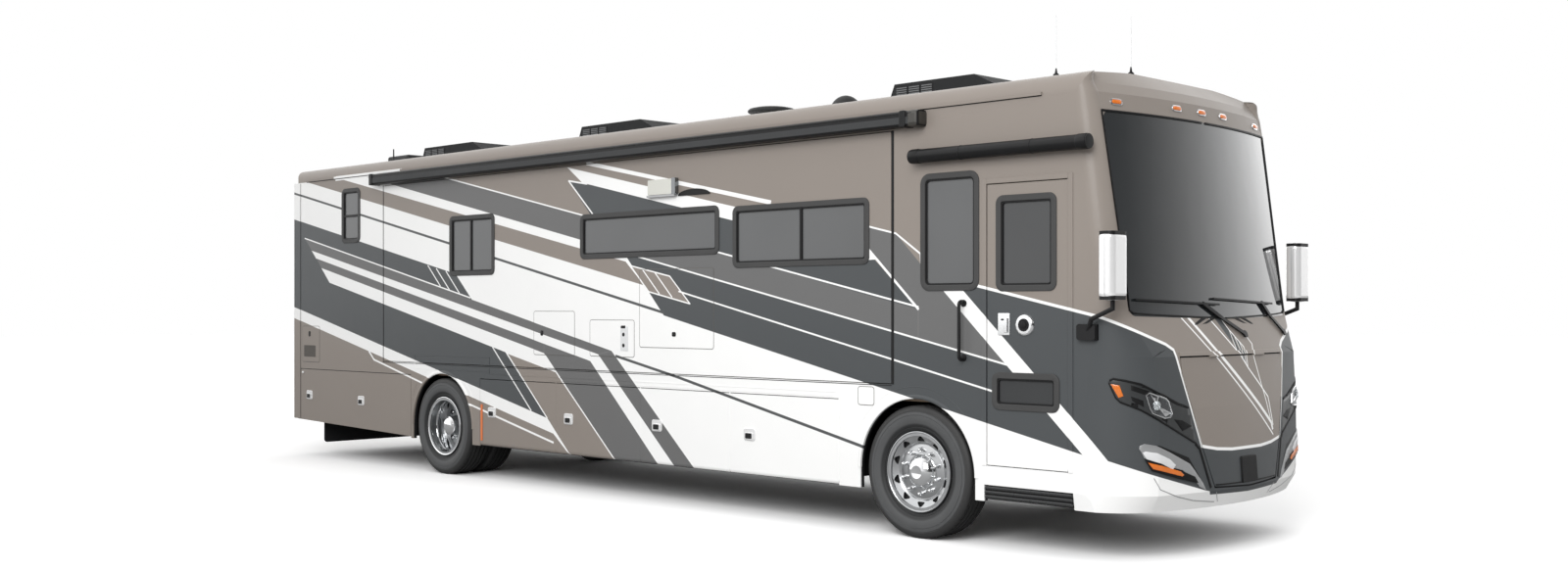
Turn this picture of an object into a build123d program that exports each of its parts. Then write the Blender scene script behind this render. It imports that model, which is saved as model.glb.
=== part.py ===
"""Class A motorhome: a hollow coach body on a ladder chassis, with doors, slide-out rooms and turning wheels.

Millimetres. +X points forward, +Y to the driver's side (left), +Z up, and the ground is z = 0.
Places along the body are given from the front axle, ahead of it positive, and at() turns them into X.
Side +1 is the door side (right, -Y) and side -1 is the driver's side (left, +Y).
"""

from build123d import *
import os

os.makedirs("parts", exist_ok=True)

# ---------------------------------------------------------------- driving dimensions
body_width = 2565
wheelbase = 6452
front_overhang = 2062
rear_overhang = 3226
half_width = body_width / 2
ledge_proud = 10
front_axle_x = (rear_overhang + ledge_proud + wheelbase - front_overhang) / 2
rear_axle_x = front_axle_x - wheelbase
SIDES = (("right", 1), ("left", -1))

# levels above the ground
skirt_z = 345
rear_skirt_z = 430
belt_z = 1026
floor_bottom_z = 1040
floor_top_z = 1100
eave_z = 3254
ceiling_z = 3290
roof_z = 3450

# walls, panels and clearances
wall_thickness = 45
cap_thickness = 40
door_thickness = 38
glass_thickness = 8
panel_gap = 7
seat_gap = 0.3
hinge_radius = 5
hinge_out = 3
ledge_height = 26
cut_margin = 200


def at(place):
    """X of a place that is given from the front axle."""
    return front_axle_x + place


def aft(distance):
    """The place, from the front axle, of something that is given behind the rear axle."""
    return -wheelbase - distance


# seams across the body
front_seam = 1403
rear_seam = aft(3038)
rear_end = aft(rear_overhang)


def keep(part, name):
    """Labels a finished sub-part and writes it."""
    part.label = name
    export_step(part, f"parts/{name}.step")


def side_face(side, depth=0.0):
    """The plane of a side's skin, or one that lies depth inside it, with local X ahead and local Y up."""
    return Plane.XZ.offset(side * (half_width - depth))


def polygon(points, mode=Mode.ADD):
    """Adds a filled polygon to the sketch that is open."""
    with BuildLine() as edge:
        Polyline(*points, close=True)
    make_face(edge.edges(), mode=mode)


def rounded(low_x, high_x, low_z, high_z, radius, grow=0.0, mode=Mode.ADD):
    """Adds a rounded opening, given by places along the body and heights, to the sketch that is open."""
    wide = high_x - low_x + 2 * grow
    tall = high_z - low_z + 2 * grow
    with Locations((at((low_x + high_x) / 2), (low_z + high_z) / 2)):
        if radius + grow > 0:
            RectangleRounded(wide, tall, radius + grow, mode=mode)
        else:
            Rectangle(wide, tall, mode=mode)


# ---------------------------------------------------------------- body shape, shared by caps, walls and roof
shoulder_half = half_width - 132.5
shoulder_z = 3405
crown_half = 600
tumble_z = 465
tumble_in = 20

# Front cap, one level a row: height, start and end of the corner arc as places, how far in from the side
# the arc ends, and the nose's place
LEVELS = (
    # z, corner_start, corner_end, corner_in, nose
    (skirt_z, 1430, 1850, 282.5, 2012),
    (tumble_z, 1470, 1915, 262.5, front_overhang),
    (720, 1490, 1925, 262.5, 2043),
    (1050, 1500, 1920, 262.5, 2010),
    (1413, 1540, 1890, 242.5, 1962),
    (1690, 1600, 1764, 139.5, 1853),
    (3130, 1430, 1559, 119.5, 1686),
    (eave_z, 1422, 1530, 122.5, 1660),
    (3330, 1418, 1484, 132.5, 1602),
    (3400, 1414, 1446, 162.5, 1510),
    (roof_z + 5, 1410, 1424, 282.5, 1436),
)
hinge_level = 4


def body_section(inset=0.0):
    """Adds the coach's cross section to a sketch on a YZ plane, or a plain one moved in by inset."""
    side = half_width - inset
    low = skirt_z - inset
    if inset:
        polygon([(-side, low), (side, low), (side, ceiling_z), (-side, ceiling_z)])
        return
    with BuildLine() as edge:
        Line((-side + tumble_in, low), (side - tumble_in, low))
        Polyline((side - tumble_in, low), (side, tumble_z), (side, eave_z))
        Polyline((-side + tumble_in, low), (-side, tumble_z), (-side, eave_z))
        TangentArc((side, eave_z), (shoulder_half, shoulder_z), tangent=(0, 1))
        TangentArc((-side, eave_z), (-shoulder_half, shoulder_z), tangent=(0, 1))
        Polyline((shoulder_half, shoulder_z), (crown_half, roof_z), (-crown_half, roof_z),
                 (-shoulder_half, shoulder_z))
    make_face(edge.edges())


def front_volume(inset=0.0):
    """The space inside the front cap's skin, or that skin moved in by inset, or out where inset is negative."""
    back = at(front_seam) - abs(inset)
    side = half_width - inset
    with BuildPart() as volume:
        for z, start, end, corner_in, nose in LEVELS:
            level = z - inset if z == skirt_z else z
            corner = (at(end) - 0.8 * inset, half_width - corner_in - 0.8 * inset)
            with BuildSketch(Plane.XY.offset(level)):
                with BuildLine():
                    Line((back, -side), (at(start), -side))
                    TangentArc((at(start), -side), (corner[0], -corner[1]), tangent=(1, 0))
                    ThreePointArc((corner[0], -corner[1]), (at(nose) - inset, 0), corner)
                    TangentArc((at(start), side), corner, tangent=(1, 0))
                    Line((at(start), side), (back, side))
                    Line((back, side), (back, -side))
                make_face()
        loft(ruled=True)
        with BuildSketch(Plane.YZ.offset(back)):
            body_section(inset)
        extrude(amount=front_overhang, mode=Mode.INTERSECT)
    return volume.part


rear_corner = 140
rear_bow = 30
rear_corner_proud = 3


def rear_volume(inset=0.0):
    """The space inside the rear cap's skin, or that skin moved in by inset, or out where inset is negative."""
    front = at(rear_seam) + abs(inset)
    back = at(rear_end) + inset
    side = half_width - inset
    corner = rear_corner - inset
    with BuildPart() as volume:
        with BuildSketch(Plane.YZ.offset(back - rear_bow)):
            body_section(inset)
        extrude(amount=front - back + rear_bow)
        with BuildSketch(Plane.XY):
            wide = side + rear_corner_proud
            start = back + rear_bow + corner
            with BuildLine():
                Line((front, wide), (front, -wide))
                Line((front, -wide), (start, -wide))
                TangentArc((start, -wide), (back + rear_bow, -side + corner), tangent=(-1, 0))
                ThreePointArc((back + rear_bow, -side + corner), (back, 0), (back + rear_bow, side - corner))
                TangentArc((start, wide), (back + rear_bow, side - corner), tangent=(-1, 0))
                Line((start, wide), (front, wide))
            make_face()
        extrude(amount=roof_z + cut_margin, mode=Mode.INTERSECT)
    return volume.part


front_skin = front_volume()
front_cavity = front_volume(cap_thickness)
front_glass_back = front_volume(glass_thickness)
front_ledge_skin = front_volume(-ledge_proud)
rear_skin = rear_volume()
rear_cavity = rear_volume(cap_thickness)
rear_ledge_skin = rear_volume(-ledge_proud)

# ---------------------------------------------------------------- front cap, windshield, hood and front lamps
windshield_bottom_z = 1696
windshield_top_z = 3125
windshield_low_half = half_width - 139.5
windshield_high_half = half_width - 119.5
windshield_bow_z = 19
windshield_corner = 70

# Hood edge, seen from ahead: half width and height, from the hinge down to the middle of its lower edge
HOOD_EDGE = ((750, 1416), (750, 1290), (581, 772), (458, 483))
hood_foot_z = 465
hood_gap = 12
knuckle_length = 150
knuckle_at = 325
leaf_reach = 25
leaf_drop = 14

# Front lamps, seen square to the corner: distance across from the middle plane's diagonal, and height
HEADLAMP = ((290, 1250), (470, 1232), (680, 1160), (866, 1066), (905, 935), (912, 872), (600, 1010), (340, 1130))
FOG_LAMP = ((545, 815), (640, 812), (885, 715), (985, 565), (800, 590), (640, 640))
lamp_near = 1400
lamp_far = 2700
diagonal = Plane(origin=(front_axle_x, 0, 0), x_dir=(1, 1, 0), z_dir=(1, -1, 0))

WIPER_PIVOTS = ((207, 1561), (956, 1566))
wiper_bore = 12


def windshield_face(shrink=0.0):
    """Adds the windshield's outline, seen from ahead, to the sketch that is open."""
    low = windshield_bottom_z + shrink
    high = windshield_top_z - shrink
    low_half = windshield_low_half - shrink
    high_half = windshield_high_half - shrink
    with BuildLine() as edge:
        ThreePointArc((-low_half, low), (0, low - windshield_bow_z), (low_half, low))
        Line((low_half, low), (high_half, high))
        Line((high_half, high), (-high_half, high))
        Line((-high_half, high), (-low_half, low))
    made = make_face(edge.edges())
    fillet(made.vertices(), windshield_corner - shrink)


def hood_face(shrink=0.0):
    """Adds the hood's outline, seen from ahead, to the sketch that is open."""
    right = [(-half, z) for half, z in HOOD_EDGE]
    left = [(half, z) for half, z in reversed(HOOD_EDGE)]
    polygon(right + [(0, hood_foot_z)] + left)
    if shrink:
        offset(amount=-shrink, mode=Mode.REPLACE)


def lamp_face(points, shrink=0.0):
    """Adds a lamp's outline, seen square to the corner, to the sketch that is open."""
    polygon(points)
    if shrink:
        offset(amount=-shrink, mode=Mode.REPLACE)


def lamp_prisms(shrink=0.0):
    """Prisms through both front corners with the lamps' outlines."""
    with BuildPart() as prisms:
        for outline in (HEADLAMP, FOG_LAMP):
            with BuildSketch(diagonal.offset(lamp_near)):
                lamp_face(outline, shrink)
            extrude(amount=lamp_far - lamp_near)
        mirror(about=Plane.XZ)
    return prisms.part


def ledge(bottom_z, half, skin, cavity):
    """A moulding over a hinge line: the skin moved out, between two heights, less the cavity."""
    with BuildPart() as moulding:
        with BuildSketch(Plane.XY.offset(bottom_z)):
            Rectangle(4 * rear_overhang + 2 * wheelbase, 2 * half)
        extrude(amount=ledge_height)
        add(skin, mode=Mode.INTERSECT)
        add(cavity, mode=Mode.SUBTRACT)
    return moulding.part


lamp_holes = lamp_prisms()
lamp_bodies = lamp_prisms(seat_gap)
hood_ledge = ledge(HOOD_EDGE[0][1], HOOD_EDGE[0][0], front_ledge_skin, front_cavity)

with BuildPart() as front_cap:
    add(front_skin)
    add(front_cavity, mode=Mode.SUBTRACT)
    with BuildSketch(Plane.YZ.offset(at(front_seam) + cap_thickness)):
        windshield_face()
        hood_face()
        with Locations(*WIPER_PIVOTS):
            Circle(wiper_bore)
    extrude(amount=front_overhang, mode=Mode.SUBTRACT)
    add(lamp_holes, mode=Mode.SUBTRACT)
    add(hood_ledge)
keep(front_cap.part, "front_cap")

with BuildPart() as windshield:
    add(front_skin)
    add(front_glass_back, mode=Mode.SUBTRACT)
    with BuildSketch(Plane.YZ.offset(at(front_seam) + cap_thickness)):
        windshield_face(seat_gap)
    extrude(amount=front_overhang, mode=Mode.INTERSECT)
keep(windshield.part, "windshield")

hood_hinge_x = at(LEVELS[hinge_level][4]) + hinge_out
hood_hinge_z = HOOD_EDGE[0][1] - panel_gap


def leaf(hinge_x, hinge_z, inward):
    """Adds a knuckle's section, with the leaf that joins it to its panel, to a sketch on an XZ plane."""
    with Locations((hinge_x, hinge_z)):
        Circle(panel_gap - seat_gap)
    polygon([(hinge_x, hinge_z), (hinge_x + inward * leaf_reach, hinge_z),
             (hinge_x + inward * leaf_reach, hinge_z - leaf_drop), (hinge_x, hinge_z - panel_gap + seat_gap)])


with BuildPart() as hood:
    add(front_skin)
    add(front_cavity, mode=Mode.SUBTRACT)
    with BuildSketch(Plane.YZ.offset(at(front_seam) + cap_thickness)):
        hood_face(hood_gap)
    extrude(amount=front_overhang, mode=Mode.INTERSECT)
    for middle in (-knuckle_at, knuckle_at):
        with BuildSketch(Plane.XZ.offset(middle - knuckle_length / 2)):
            leaf(hood_hinge_x, hood_hinge_z, -1)
        extrude(amount=knuckle_length)
keep(hood.part, "hood")

with BuildPart() as front_lamps:
    add(front_skin)
    add(front_cavity, mode=Mode.SUBTRACT)
    add(lamp_bodies, mode=Mode.INTERSECT)
keep(front_lamps.part, "front_lamps")

# ---------------------------------------------------------------- rear cap, engine lid and rear lamps
# Engine lid, seen from behind: low and high half width and height
lid_half = 760
lid_low_z = 640
lid_high_z = 1480
lamp_half_width = 60
lamp_middle_half = 1010
lamp_low_z = 1010
lamp_high_z = 1560
lamp_corner = 30
rear_cut_depth = cap_thickness + rear_bow + 20
lid_hinge_x = at(rear_end) - hinge_out
lid_hinge_z = lid_high_z - panel_gap


def rear_lamp_faces(shrink=0.0):
    """Adds the tail lamps' outlines to a sketch on a YZ plane."""
    height = lamp_high_z - lamp_low_z
    with Locations(*[(side * lamp_middle_half, (lamp_low_z + lamp_high_z) / 2) for _, side in SIDES]):
        RectangleRounded(2 * (lamp_half_width - shrink), height - 2 * shrink, lamp_corner)


def lid_box(shrink=0.0):
    """Adds the engine lid's outline to a sketch on a YZ plane."""
    with Locations((0, (lid_low_z + lid_high_z) / 2)):
        Rectangle(2 * (lid_half - shrink), lid_high_z - lid_low_z - 2 * shrink)


lid_ledge = ledge(lid_high_z, lid_half, rear_ledge_skin, rear_cavity)

with BuildPart() as rear_cap:
    add(rear_skin)
    add(rear_cavity, mode=Mode.SUBTRACT)
    with BuildSketch(Plane.YZ.offset(at(rear_end) - 1)):
        rear_lamp_faces()
        lid_box()
    extrude(amount=rear_cut_depth, mode=Mode.SUBTRACT)
    with BuildSketch(Plane.XY.offset(skirt_z - cut_margin)):
        with Locations((at(rear_seam), 0)):
            Rectangle(2 * rear_overhang, body_width)
    extrude(amount=rear_skirt_z - skirt_z + cut_margin, mode=Mode.SUBTRACT)
    add(lid_ledge)
keep(rear_cap.part, "rear_cap")

with BuildPart() as engine_lid:
    with BuildSketch(Plane.YZ.offset(at(rear_end) - 1)):
        lid_box(panel_gap)
    extrude(amount=rear_cut_depth)
    add(rear_skin, mode=Mode.INTERSECT)
    add(rear_cavity, mode=Mode.SUBTRACT)
    for middle in (-knuckle_at, knuckle_at):
        with BuildSketch(Plane.XZ.offset(middle - knuckle_length / 2)):
            leaf(lid_hinge_x, lid_hinge_z, 1)
        extrude(amount=knuckle_length)
keep(engine_lid.part, "engine_lid")

with BuildPart() as rear_lamps:
    with BuildSketch(Plane.YZ.offset(at(rear_end) - 1)):
        rear_lamp_faces(seat_gap)
    extrude(amount=rear_cut_depth)
    add(rear_skin, mode=Mode.INTERSECT)
    add(rear_cavity, mode=Mode.SUBTRACT)
keep(rear_lamps.part, "rear_lamps")

# ---------------------------------------------------------------- wheels, sizes that the body needs too
tyre_radius = 506
tyre_width = 276
wheel_inset = 145.5
track_half = half_width - wheel_inset
twin_spacing = 318
axle_z = tyre_radius
arch_radius = 560
AXLES = (("front", 0), ("rear", -wheelbase))

# ---------------------------------------------------------------- side walls
# Windows and openings: low and high place along the body, low and high height, corner radius
SLIDE = (aft(1164), -240, 1164, 3116, 12)
DOORWAY = (662, 1366, 604, 2654, 0)
REAR_WINDOW = (aft(2062), aft(1671), 2507, 3118, 70)
FRONT_WINDOW = (54, 588, 1887, 2755, 80)
DRIVER_WINDOW = (330, 1250, 1800, 2640, 80)
WALL_WINDOWS = {"right": (REAR_WINDOW, FRONT_WINDOW), "left": (REAR_WINDOW, DRIVER_WINDOW)}
SLIDE_WINDOWS = (
    (aft(-152), aft(-949), 2098, 2708, 60),
    (-4090, -2184, 2222, 2630, 60),
    (-2000, -476, 2100, 2610, 60),
)
# Seams between the bay doors, and the ends of the panel round the rear arch
BAY_SEAMS = (aft(-702), -4476, -3218, -2042, -785)
arch_side = 42
rear_arch_panel = aft(arch_radius + arch_side)
step_low_place = 640
step_top_z = 465


def wall_outline(name):
    """The outline of a side wall, with the panels round both arches hanging from it."""
    lower_front = [(front_seam, skirt_z)]
    if name == "right":
        lower_front = [(front_seam, step_top_z), (step_low_place, step_top_z), (step_low_place, skirt_z)]
    places = [(rear_seam, eave_z), (front_seam, eave_z)] + lower_front + [
        (BAY_SEAMS[-1], skirt_z), (BAY_SEAMS[-1], belt_z + panel_gap),
        (BAY_SEAMS[0] - panel_gap, belt_z + panel_gap), (BAY_SEAMS[0] - panel_gap, skirt_z),
        (rear_arch_panel, skirt_z), (rear_arch_panel, belt_z + panel_gap),
        (rear_seam, belt_z + panel_gap),
    ]
    return [(at(place), z) for place, z in places]


for name, side in SIDES:
    with BuildPart() as wall:
        with BuildSketch(side_face(side)):
            polygon(wall_outline(name))
            rounded(*SLIDE, mode=Mode.SUBTRACT)
            if name == "right":
                rounded(*DOORWAY, mode=Mode.SUBTRACT)
            for window in WALL_WINDOWS[name]:
                rounded(*window, mode=Mode.SUBTRACT)
            for _, place in AXLES:
                with Locations((at(place), axle_z)):
                    Circle(arch_radius, mode=Mode.SUBTRACT)
                with Locations((at(place), axle_z - arch_radius / 2)):
                    Rectangle(2 * arch_radius, arch_radius, mode=Mode.SUBTRACT)
        extrude(amount=-side * wall_thickness)
    keep(wall.part, f"{name}_wall")

with BuildPart() as side_glass:
    for name, side in SIDES:
        with BuildSketch(side_face(side, wall_thickness / 4)):
            for window in WALL_WINDOWS[name]:
                rounded(*window, grow=-seat_gap)
        extrude(amount=-side * glass_thickness)
keep(side_glass.part, "side_glass")

# ---------------------------------------------------------------- roof with its gutters
gutter_low_place = aft(2888)
gutter_high_place = 1146
gutter_proud = 14
gutter_height = 22
gutter_root = 1

with BuildPart() as roof:
    with BuildSketch(Plane.YZ.offset(at(rear_seam))):
        body_section()
        with BuildLine() as hollow:
            Polyline((half_width - wall_thickness, 0), (half_width - wall_thickness, ceiling_z),
                     (-half_width + wall_thickness, ceiling_z), (-half_width + wall_thickness, 0), close=True)
        make_face(hollow.edges(), mode=Mode.SUBTRACT)
        with Locations((0, eave_z / 2)):
            Rectangle(body_width + cut_margin, eave_z, mode=Mode.SUBTRACT)
    extrude(amount=front_seam - rear_seam)
    for side in (1, -1):
        with BuildSketch(Plane.YZ.offset(at(gutter_low_place))):
            with Locations((-side * (half_width + (gutter_proud - gutter_root) / 2), eave_z + gutter_height / 2)):
                Rectangle(gutter_proud + gutter_root, gutter_height)
        extrude(amount=gutter_high_place - gutter_low_place)
keep(roof.part, "roof_shell")

# ---------------------------------------------------------------- floor with the slide-out runners and step well
well_depth = 640
well_wall = 6
floor_front = 1600
floor_front_in = 100
runner_width = 90
runner_places = (aft(548), -5100, -2900, -900)
runner_end = 20
room_wall = 30
room_inset = 20
slide_bottom_z = SLIDE[2] + panel_gap + room_inset
slide_depth = 800
slide_travel = 700
inner_half = half_width - wall_thickness

with BuildPart() as floor_deck:
    with BuildSketch(Plane.XY.offset(floor_bottom_z)):
        with Locations(((at(rear_seam) + at(front_seam)) / 2, 0)):
            Rectangle(front_seam - rear_seam, 2 * inner_half)
        with Locations(((at(front_seam) + at(floor_front)) / 2, 0)):
            Rectangle(floor_front - front_seam, 2 * (inner_half - floor_front_in))
        with Locations((at((DOORWAY[0] + DOORWAY[1]) / 2), -inner_half + well_depth / 2)):
            Rectangle(DOORWAY[1] - DOORWAY[0], well_depth, mode=Mode.SUBTRACT)
    extrude(amount=floor_top_z - floor_bottom_z)
    with BuildSketch(Plane.XY.offset(floor_top_z)):
        for side in (1, -1):
            with Locations(*[(at(place), -side * (inner_half - slide_depth / 2)) for place in runner_places]):
                Rectangle(runner_width, slide_depth - 2 * runner_end)
    extrude(amount=slide_bottom_z - seat_gap - floor_top_z)
keep(floor_deck.part, "floor_deck")

tread_count = 2
tread_rise = (floor_bottom_z - DOORWAY[2]) / tread_count
tread_going = 300
sill_drop = 10
sill_z = DOORWAY[2] - sill_drop

with BuildPart() as step_well:
    low = at(DOORWAY[0])
    width = DOORWAY[1] - DOORWAY[0]
    outer = inner_half
    with BuildSketch(Plane.YZ.offset(low)):
        polygon([
            (-outer, sill_z), (-outer, sill_z - well_wall), (-outer + tread_going + well_wall, sill_z - well_wall),
            (-outer + tread_going + well_wall, sill_z + tread_rise - well_wall),
            (-outer + well_depth, sill_z + tread_rise - well_wall), (-outer + well_depth, floor_bottom_z),
            (-outer + well_depth - well_wall, floor_bottom_z),
            (-outer + well_depth - well_wall, sill_z + tread_rise), (-outer + tread_going, sill_z + tread_rise),
            (-outer + tread_going, sill_z),
        ])
    extrude(amount=width)
    for plate_x in (low, low + width - well_wall):
        with BuildSketch(Plane.YZ.offset(plate_x)):
            polygon([(-outer, sill_z), (-outer + tread_going, sill_z), (-outer + tread_going, sill_z + tread_rise),
                     (-outer + well_depth - well_wall, sill_z + tread_rise),
                     (-outer + well_depth - well_wall, floor_bottom_z), (-outer, floor_bottom_z)])
        extrude(amount=well_wall)
keep(step_well.part, "step_well")

# Ribbed step under the door
step_groove = 8
step_ribs = 3
step_low_z = 360
step_height = step_top_z - step_low_z
step_deep = 230
step_face_in = 15
rib_deep = 12
rib_face_in = 8
with BuildPart() as entry_step:
    step_width = front_seam - step_low_place - 2 * panel_gap
    with BuildSketch(Plane.YZ.offset(at(step_low_place) + panel_gap)):
        rib_pitch = step_height / step_ribs
        with Locations((-half_width + step_face_in + step_deep / 2, step_top_z - step_height / 2 - seat_gap)):
            Rectangle(step_deep, step_height)
        for rib in range(step_ribs):
            rib_middle = step_top_z - seat_gap - (rib + 0.5) * rib_pitch
            with Locations((-half_width + rib_face_in + rib_deep / 2, rib_middle)):
                Rectangle(rib_deep, rib_pitch - step_groove)
    extrude(amount=step_width)
keep(entry_step.part, "entry_step")

# ---------------------------------------------------------------- slide-out rooms
room_corner = 1

for name, side in SIDES:
    low_x, high_x, low_z, high_z, corner = SLIDE
    with BuildPart() as room:
        with BuildSketch(side_face(side)):
            rounded(low_x, high_x, low_z, high_z, corner, grow=-panel_gap)
            for window in SLIDE_WINDOWS:
                rounded(*window, mode=Mode.SUBTRACT)
        extrude(amount=-side * wall_thickness)
        with BuildSketch(side_face(side, wall_thickness)):
            rounded(low_x, high_x, low_z, high_z, corner, grow=-panel_gap - room_inset)
            rounded(low_x, high_x, low_z, high_z, room_corner, grow=-panel_gap - room_inset - room_wall,
                    mode=Mode.SUBTRACT)
        extrude(amount=-side * (slide_depth - wall_thickness))
    keep(room.part, f"{name}_slide_room")
    with BuildPart() as room_glass:
        with BuildSketch(side_face(side, wall_thickness / 4)):
            for window in SLIDE_WINDOWS:
                rounded(*window, grow=-seat_gap)
        extrude(amount=-side * glass_thickness)
    keep(room_glass.part, f"{name}_slide_glass")

# ---------------------------------------------------------------- entry door
DOOR_WINDOWS = ((755, 1262, 1879, 2557, 60), (721, 1286, 1022, 1280, 60))
door_hinge_x = at(DOORWAY[1] - panel_gap)
door_hinge_y = -half_width + hinge_radius

with BuildPart() as entry_door:
    with BuildSketch(side_face(1)):
        rounded(*DOORWAY[:4], hinge_radius + panel_gap, grow=-panel_gap)
        for window in DOOR_WINDOWS:
            rounded(*window, mode=Mode.SUBTRACT)
    extrude(amount=-wall_thickness)
    with BuildSketch(Plane.XY.offset(DOORWAY[2] + 3 * panel_gap)):
        with Locations((door_hinge_x, door_hinge_y)):
            Circle(hinge_radius)
    extrude(amount=DOORWAY[3] - seat_gap - DOORWAY[2] - 3 * panel_gap)
keep(entry_door.part, "entry_door")

with BuildPart() as entry_door_glass:
    with BuildSketch(side_face(1, wall_thickness / 4)):
        for window in DOOR_WINDOWS:
            rounded(*window, grow=-seat_gap)
    extrude(amount=-glass_thickness)
keep(entry_door_glass.part, "entry_door_glass")

# ---------------------------------------------------------------- bay doors and lockers
BAYS = tuple(zip(BAY_SEAMS[:-1], BAY_SEAMS[1:]))
door_foot = 34
locker_wall = 12
locker_depth = 640
locker_low_z = 400
side_door_span = (rear_seam, rear_arch_panel)
side_door_low_z = 365

for name, side in SIDES:
    for number, (low_place, high_place) in enumerate(BAYS, start=1):
        hinge_x = at(high_place) - panel_gap
        with BuildPart() as bay_door:
            with BuildSketch(Plane.YZ.offset(at(low_place))):
                with Locations((-side * (half_width - door_thickness / 2), (skirt_z + belt_z) / 2)):
                    Rectangle(door_thickness, belt_z - skirt_z)
            extrude(amount=high_place - low_place - panel_gap)
            foot = bay_door.edges().filter_by(Axis.X).group_by(Axis.Z)[0].sort_by(Axis.Y)
            fillet(foot[0] if side > 0 else foot[-1], door_foot)
            with BuildSketch(Plane.XY.offset(skirt_z + door_foot)):
                with Locations((hinge_x, -side * (half_width - hinge_radius))):
                    Circle(hinge_radius)
            extrude(amount=belt_z + panel_gap - seat_gap - skirt_z - door_foot)
        keep(bay_door.part, f"{name}_bay_door_{number}")
    with BuildPart() as side_door:
        with BuildSketch(side_face(side)):
            polygon([(at(side_door_span[0]) + panel_gap, rear_skirt_z), (at(side_door_span[0]) + panel_gap, belt_z),
                     (at(side_door_span[1]) - panel_gap, belt_z), (at(side_door_span[1]) - panel_gap, side_door_low_z)])
        extrude(amount=-side * door_thickness)
        with BuildSketch(Plane.YZ.offset(at(side_door_span[0]) + 3 * panel_gap)):
            with Locations((-side * (half_width - hinge_radius), belt_z)):
                Circle(hinge_radius)
        extrude(amount=side_door_span[1] - seat_gap - side_door_span[0] - 3 * panel_gap)
    keep(side_door.part, f"{name}_engine_side_door")

with BuildPart() as lockers:
    for name, side in SIDES:
        locker_low = at(BAY_SEAMS[0])
        locker_length = BAY_SEAMS[-1] - BAY_SEAMS[0]
        with BuildSketch(side_face(side, wall_thickness)):
            with Locations((locker_low + locker_length / 2, (locker_low_z + floor_bottom_z) / 2)):
                Rectangle(locker_length, floor_bottom_z - locker_low_z)
        extrude(amount=-side * locker_depth)
        with BuildSketch(side_face(side, wall_thickness)):
            for low_place, high_place in BAYS:
                with Locations((at((low_place + high_place) / 2), (locker_low_z + floor_bottom_z) / 2)):
                    Rectangle(high_place - low_place - 2 * locker_wall,
                              floor_bottom_z - locker_low_z - 2 * locker_wall)
        extrude(amount=-side * (locker_depth - locker_wall), mode=Mode.SUBTRACT)
keep(lockers.part, "lockers")

# ---------------------------------------------------------------- chassis
rail_half = 430
rail_width = 80
rail_low_z = 640
rail_high_z = 860
rail_front = 1480
rail_back = aft(2988)
cross_height = 150
cross_width = 80
cross_low_z = 670
CROSS_PLACES = (1380, 760, -760, -1900, -3050, -4200, -5350, aft(698))
bearer_width = 100
BEARER_PLACES = (900, -1200, -3600, -5600, aft(1148), aft(2868))

with BuildPart() as chassis:
    for side in (1, -1):
        with BuildSketch(Plane.YZ.offset(at(rail_back))):
            with Locations((side * rail_half, (rail_low_z + rail_high_z) / 2)):
                Rectangle(rail_width, rail_high_z - rail_low_z)
        extrude(amount=rail_front - rail_back)
    with BuildSketch(Plane.XY.offset(cross_low_z)):
        with Locations(*[(at(place), 0) for place in CROSS_PLACES]):
            Rectangle(cross_width, 2 * rail_half)
    extrude(amount=cross_height)
    with BuildSketch(Plane.XY.offset(rail_high_z)):
        with Locations(*[(at(place), 0) for place in BEARER_PLACES]):
            Rectangle(bearer_width, 2 * (rail_half + rail_width / 2))
    extrude(amount=floor_bottom_z - rail_high_z)
keep(chassis.part, "chassis_frame")

# Wheel wells: the plates round each arch, from behind the wall to the inner plate
well_plate = 6
well_half = 612
well_in_y = 600
well_low_z = 420
axle_notch = 170
notch_margin = 2
with BuildPart() as wheel_wells:
    for name, side in SIDES:
        for _, place in AXLES:
            with BuildSketch(side_face(side, wall_thickness)):
                with Locations((at(place), (well_low_z + floor_bottom_z) / 2)):
                    Rectangle(2 * (well_half + well_plate), floor_bottom_z - well_low_z)
            extrude(amount=-side * (half_width - wall_thickness - well_in_y))
            with BuildSketch(side_face(side, wall_thickness)):
                with Locations((at(place), (well_low_z + floor_bottom_z) / 2)):
                    Rectangle(2 * well_half, floor_bottom_z - well_low_z)
            extrude(amount=-side * (half_width - wall_thickness - well_in_y - well_plate), mode=Mode.SUBTRACT)
            with BuildSketch(Plane.XZ.offset(side * (well_in_y - notch_margin))):
                with Locations((at(place), axle_z - axle_notch / 2)):
                    Rectangle(axle_notch, 2 * axle_notch)
            extrude(amount=side * (well_plate + 2 * notch_margin), mode=Mode.SUBTRACT)
keep(wheel_wells.part, "wheel_wells")

# ---------------------------------------------------------------- engine, tank, rear flap and hitch
engine_front = aft(1568)
engine_back = aft(2728)
engine_low_z = 450
engine_high_z = 1020
rail_in_y = rail_half - rail_width / 2
gearbox_radius = 190
gearbox_length = 700
gearbox_z = 600

with BuildPart() as engine:
    with BuildSketch(Plane.XY.offset(engine_low_z)):
        with Locations((at((engine_front + engine_back) / 2), 0)):
            Rectangle(engine_front - engine_back, 2 * rail_in_y)
    extrude(amount=engine_high_z - engine_low_z)
    with BuildSketch(Plane.YZ.offset(at(engine_front))):
        with Locations((0, gearbox_z)):
            Circle(gearbox_radius)
    extrude(amount=gearbox_length)
keep(engine.part, "engine")

tank_place = -1350
tank_length = 620
tank_width = 1140
tank_low_z = 400
tank_corner = 60

with BuildPart() as fuel_tank:
    with BuildSketch(Plane.XY.offset(tank_low_z)):
        with Locations((at(tank_place), 0)):
            RectangleRounded(tank_length, tank_width, tank_corner)
    extrude(amount=rail_low_z - tank_low_z)
keep(fuel_tank.part, "fuel_tank")

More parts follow.
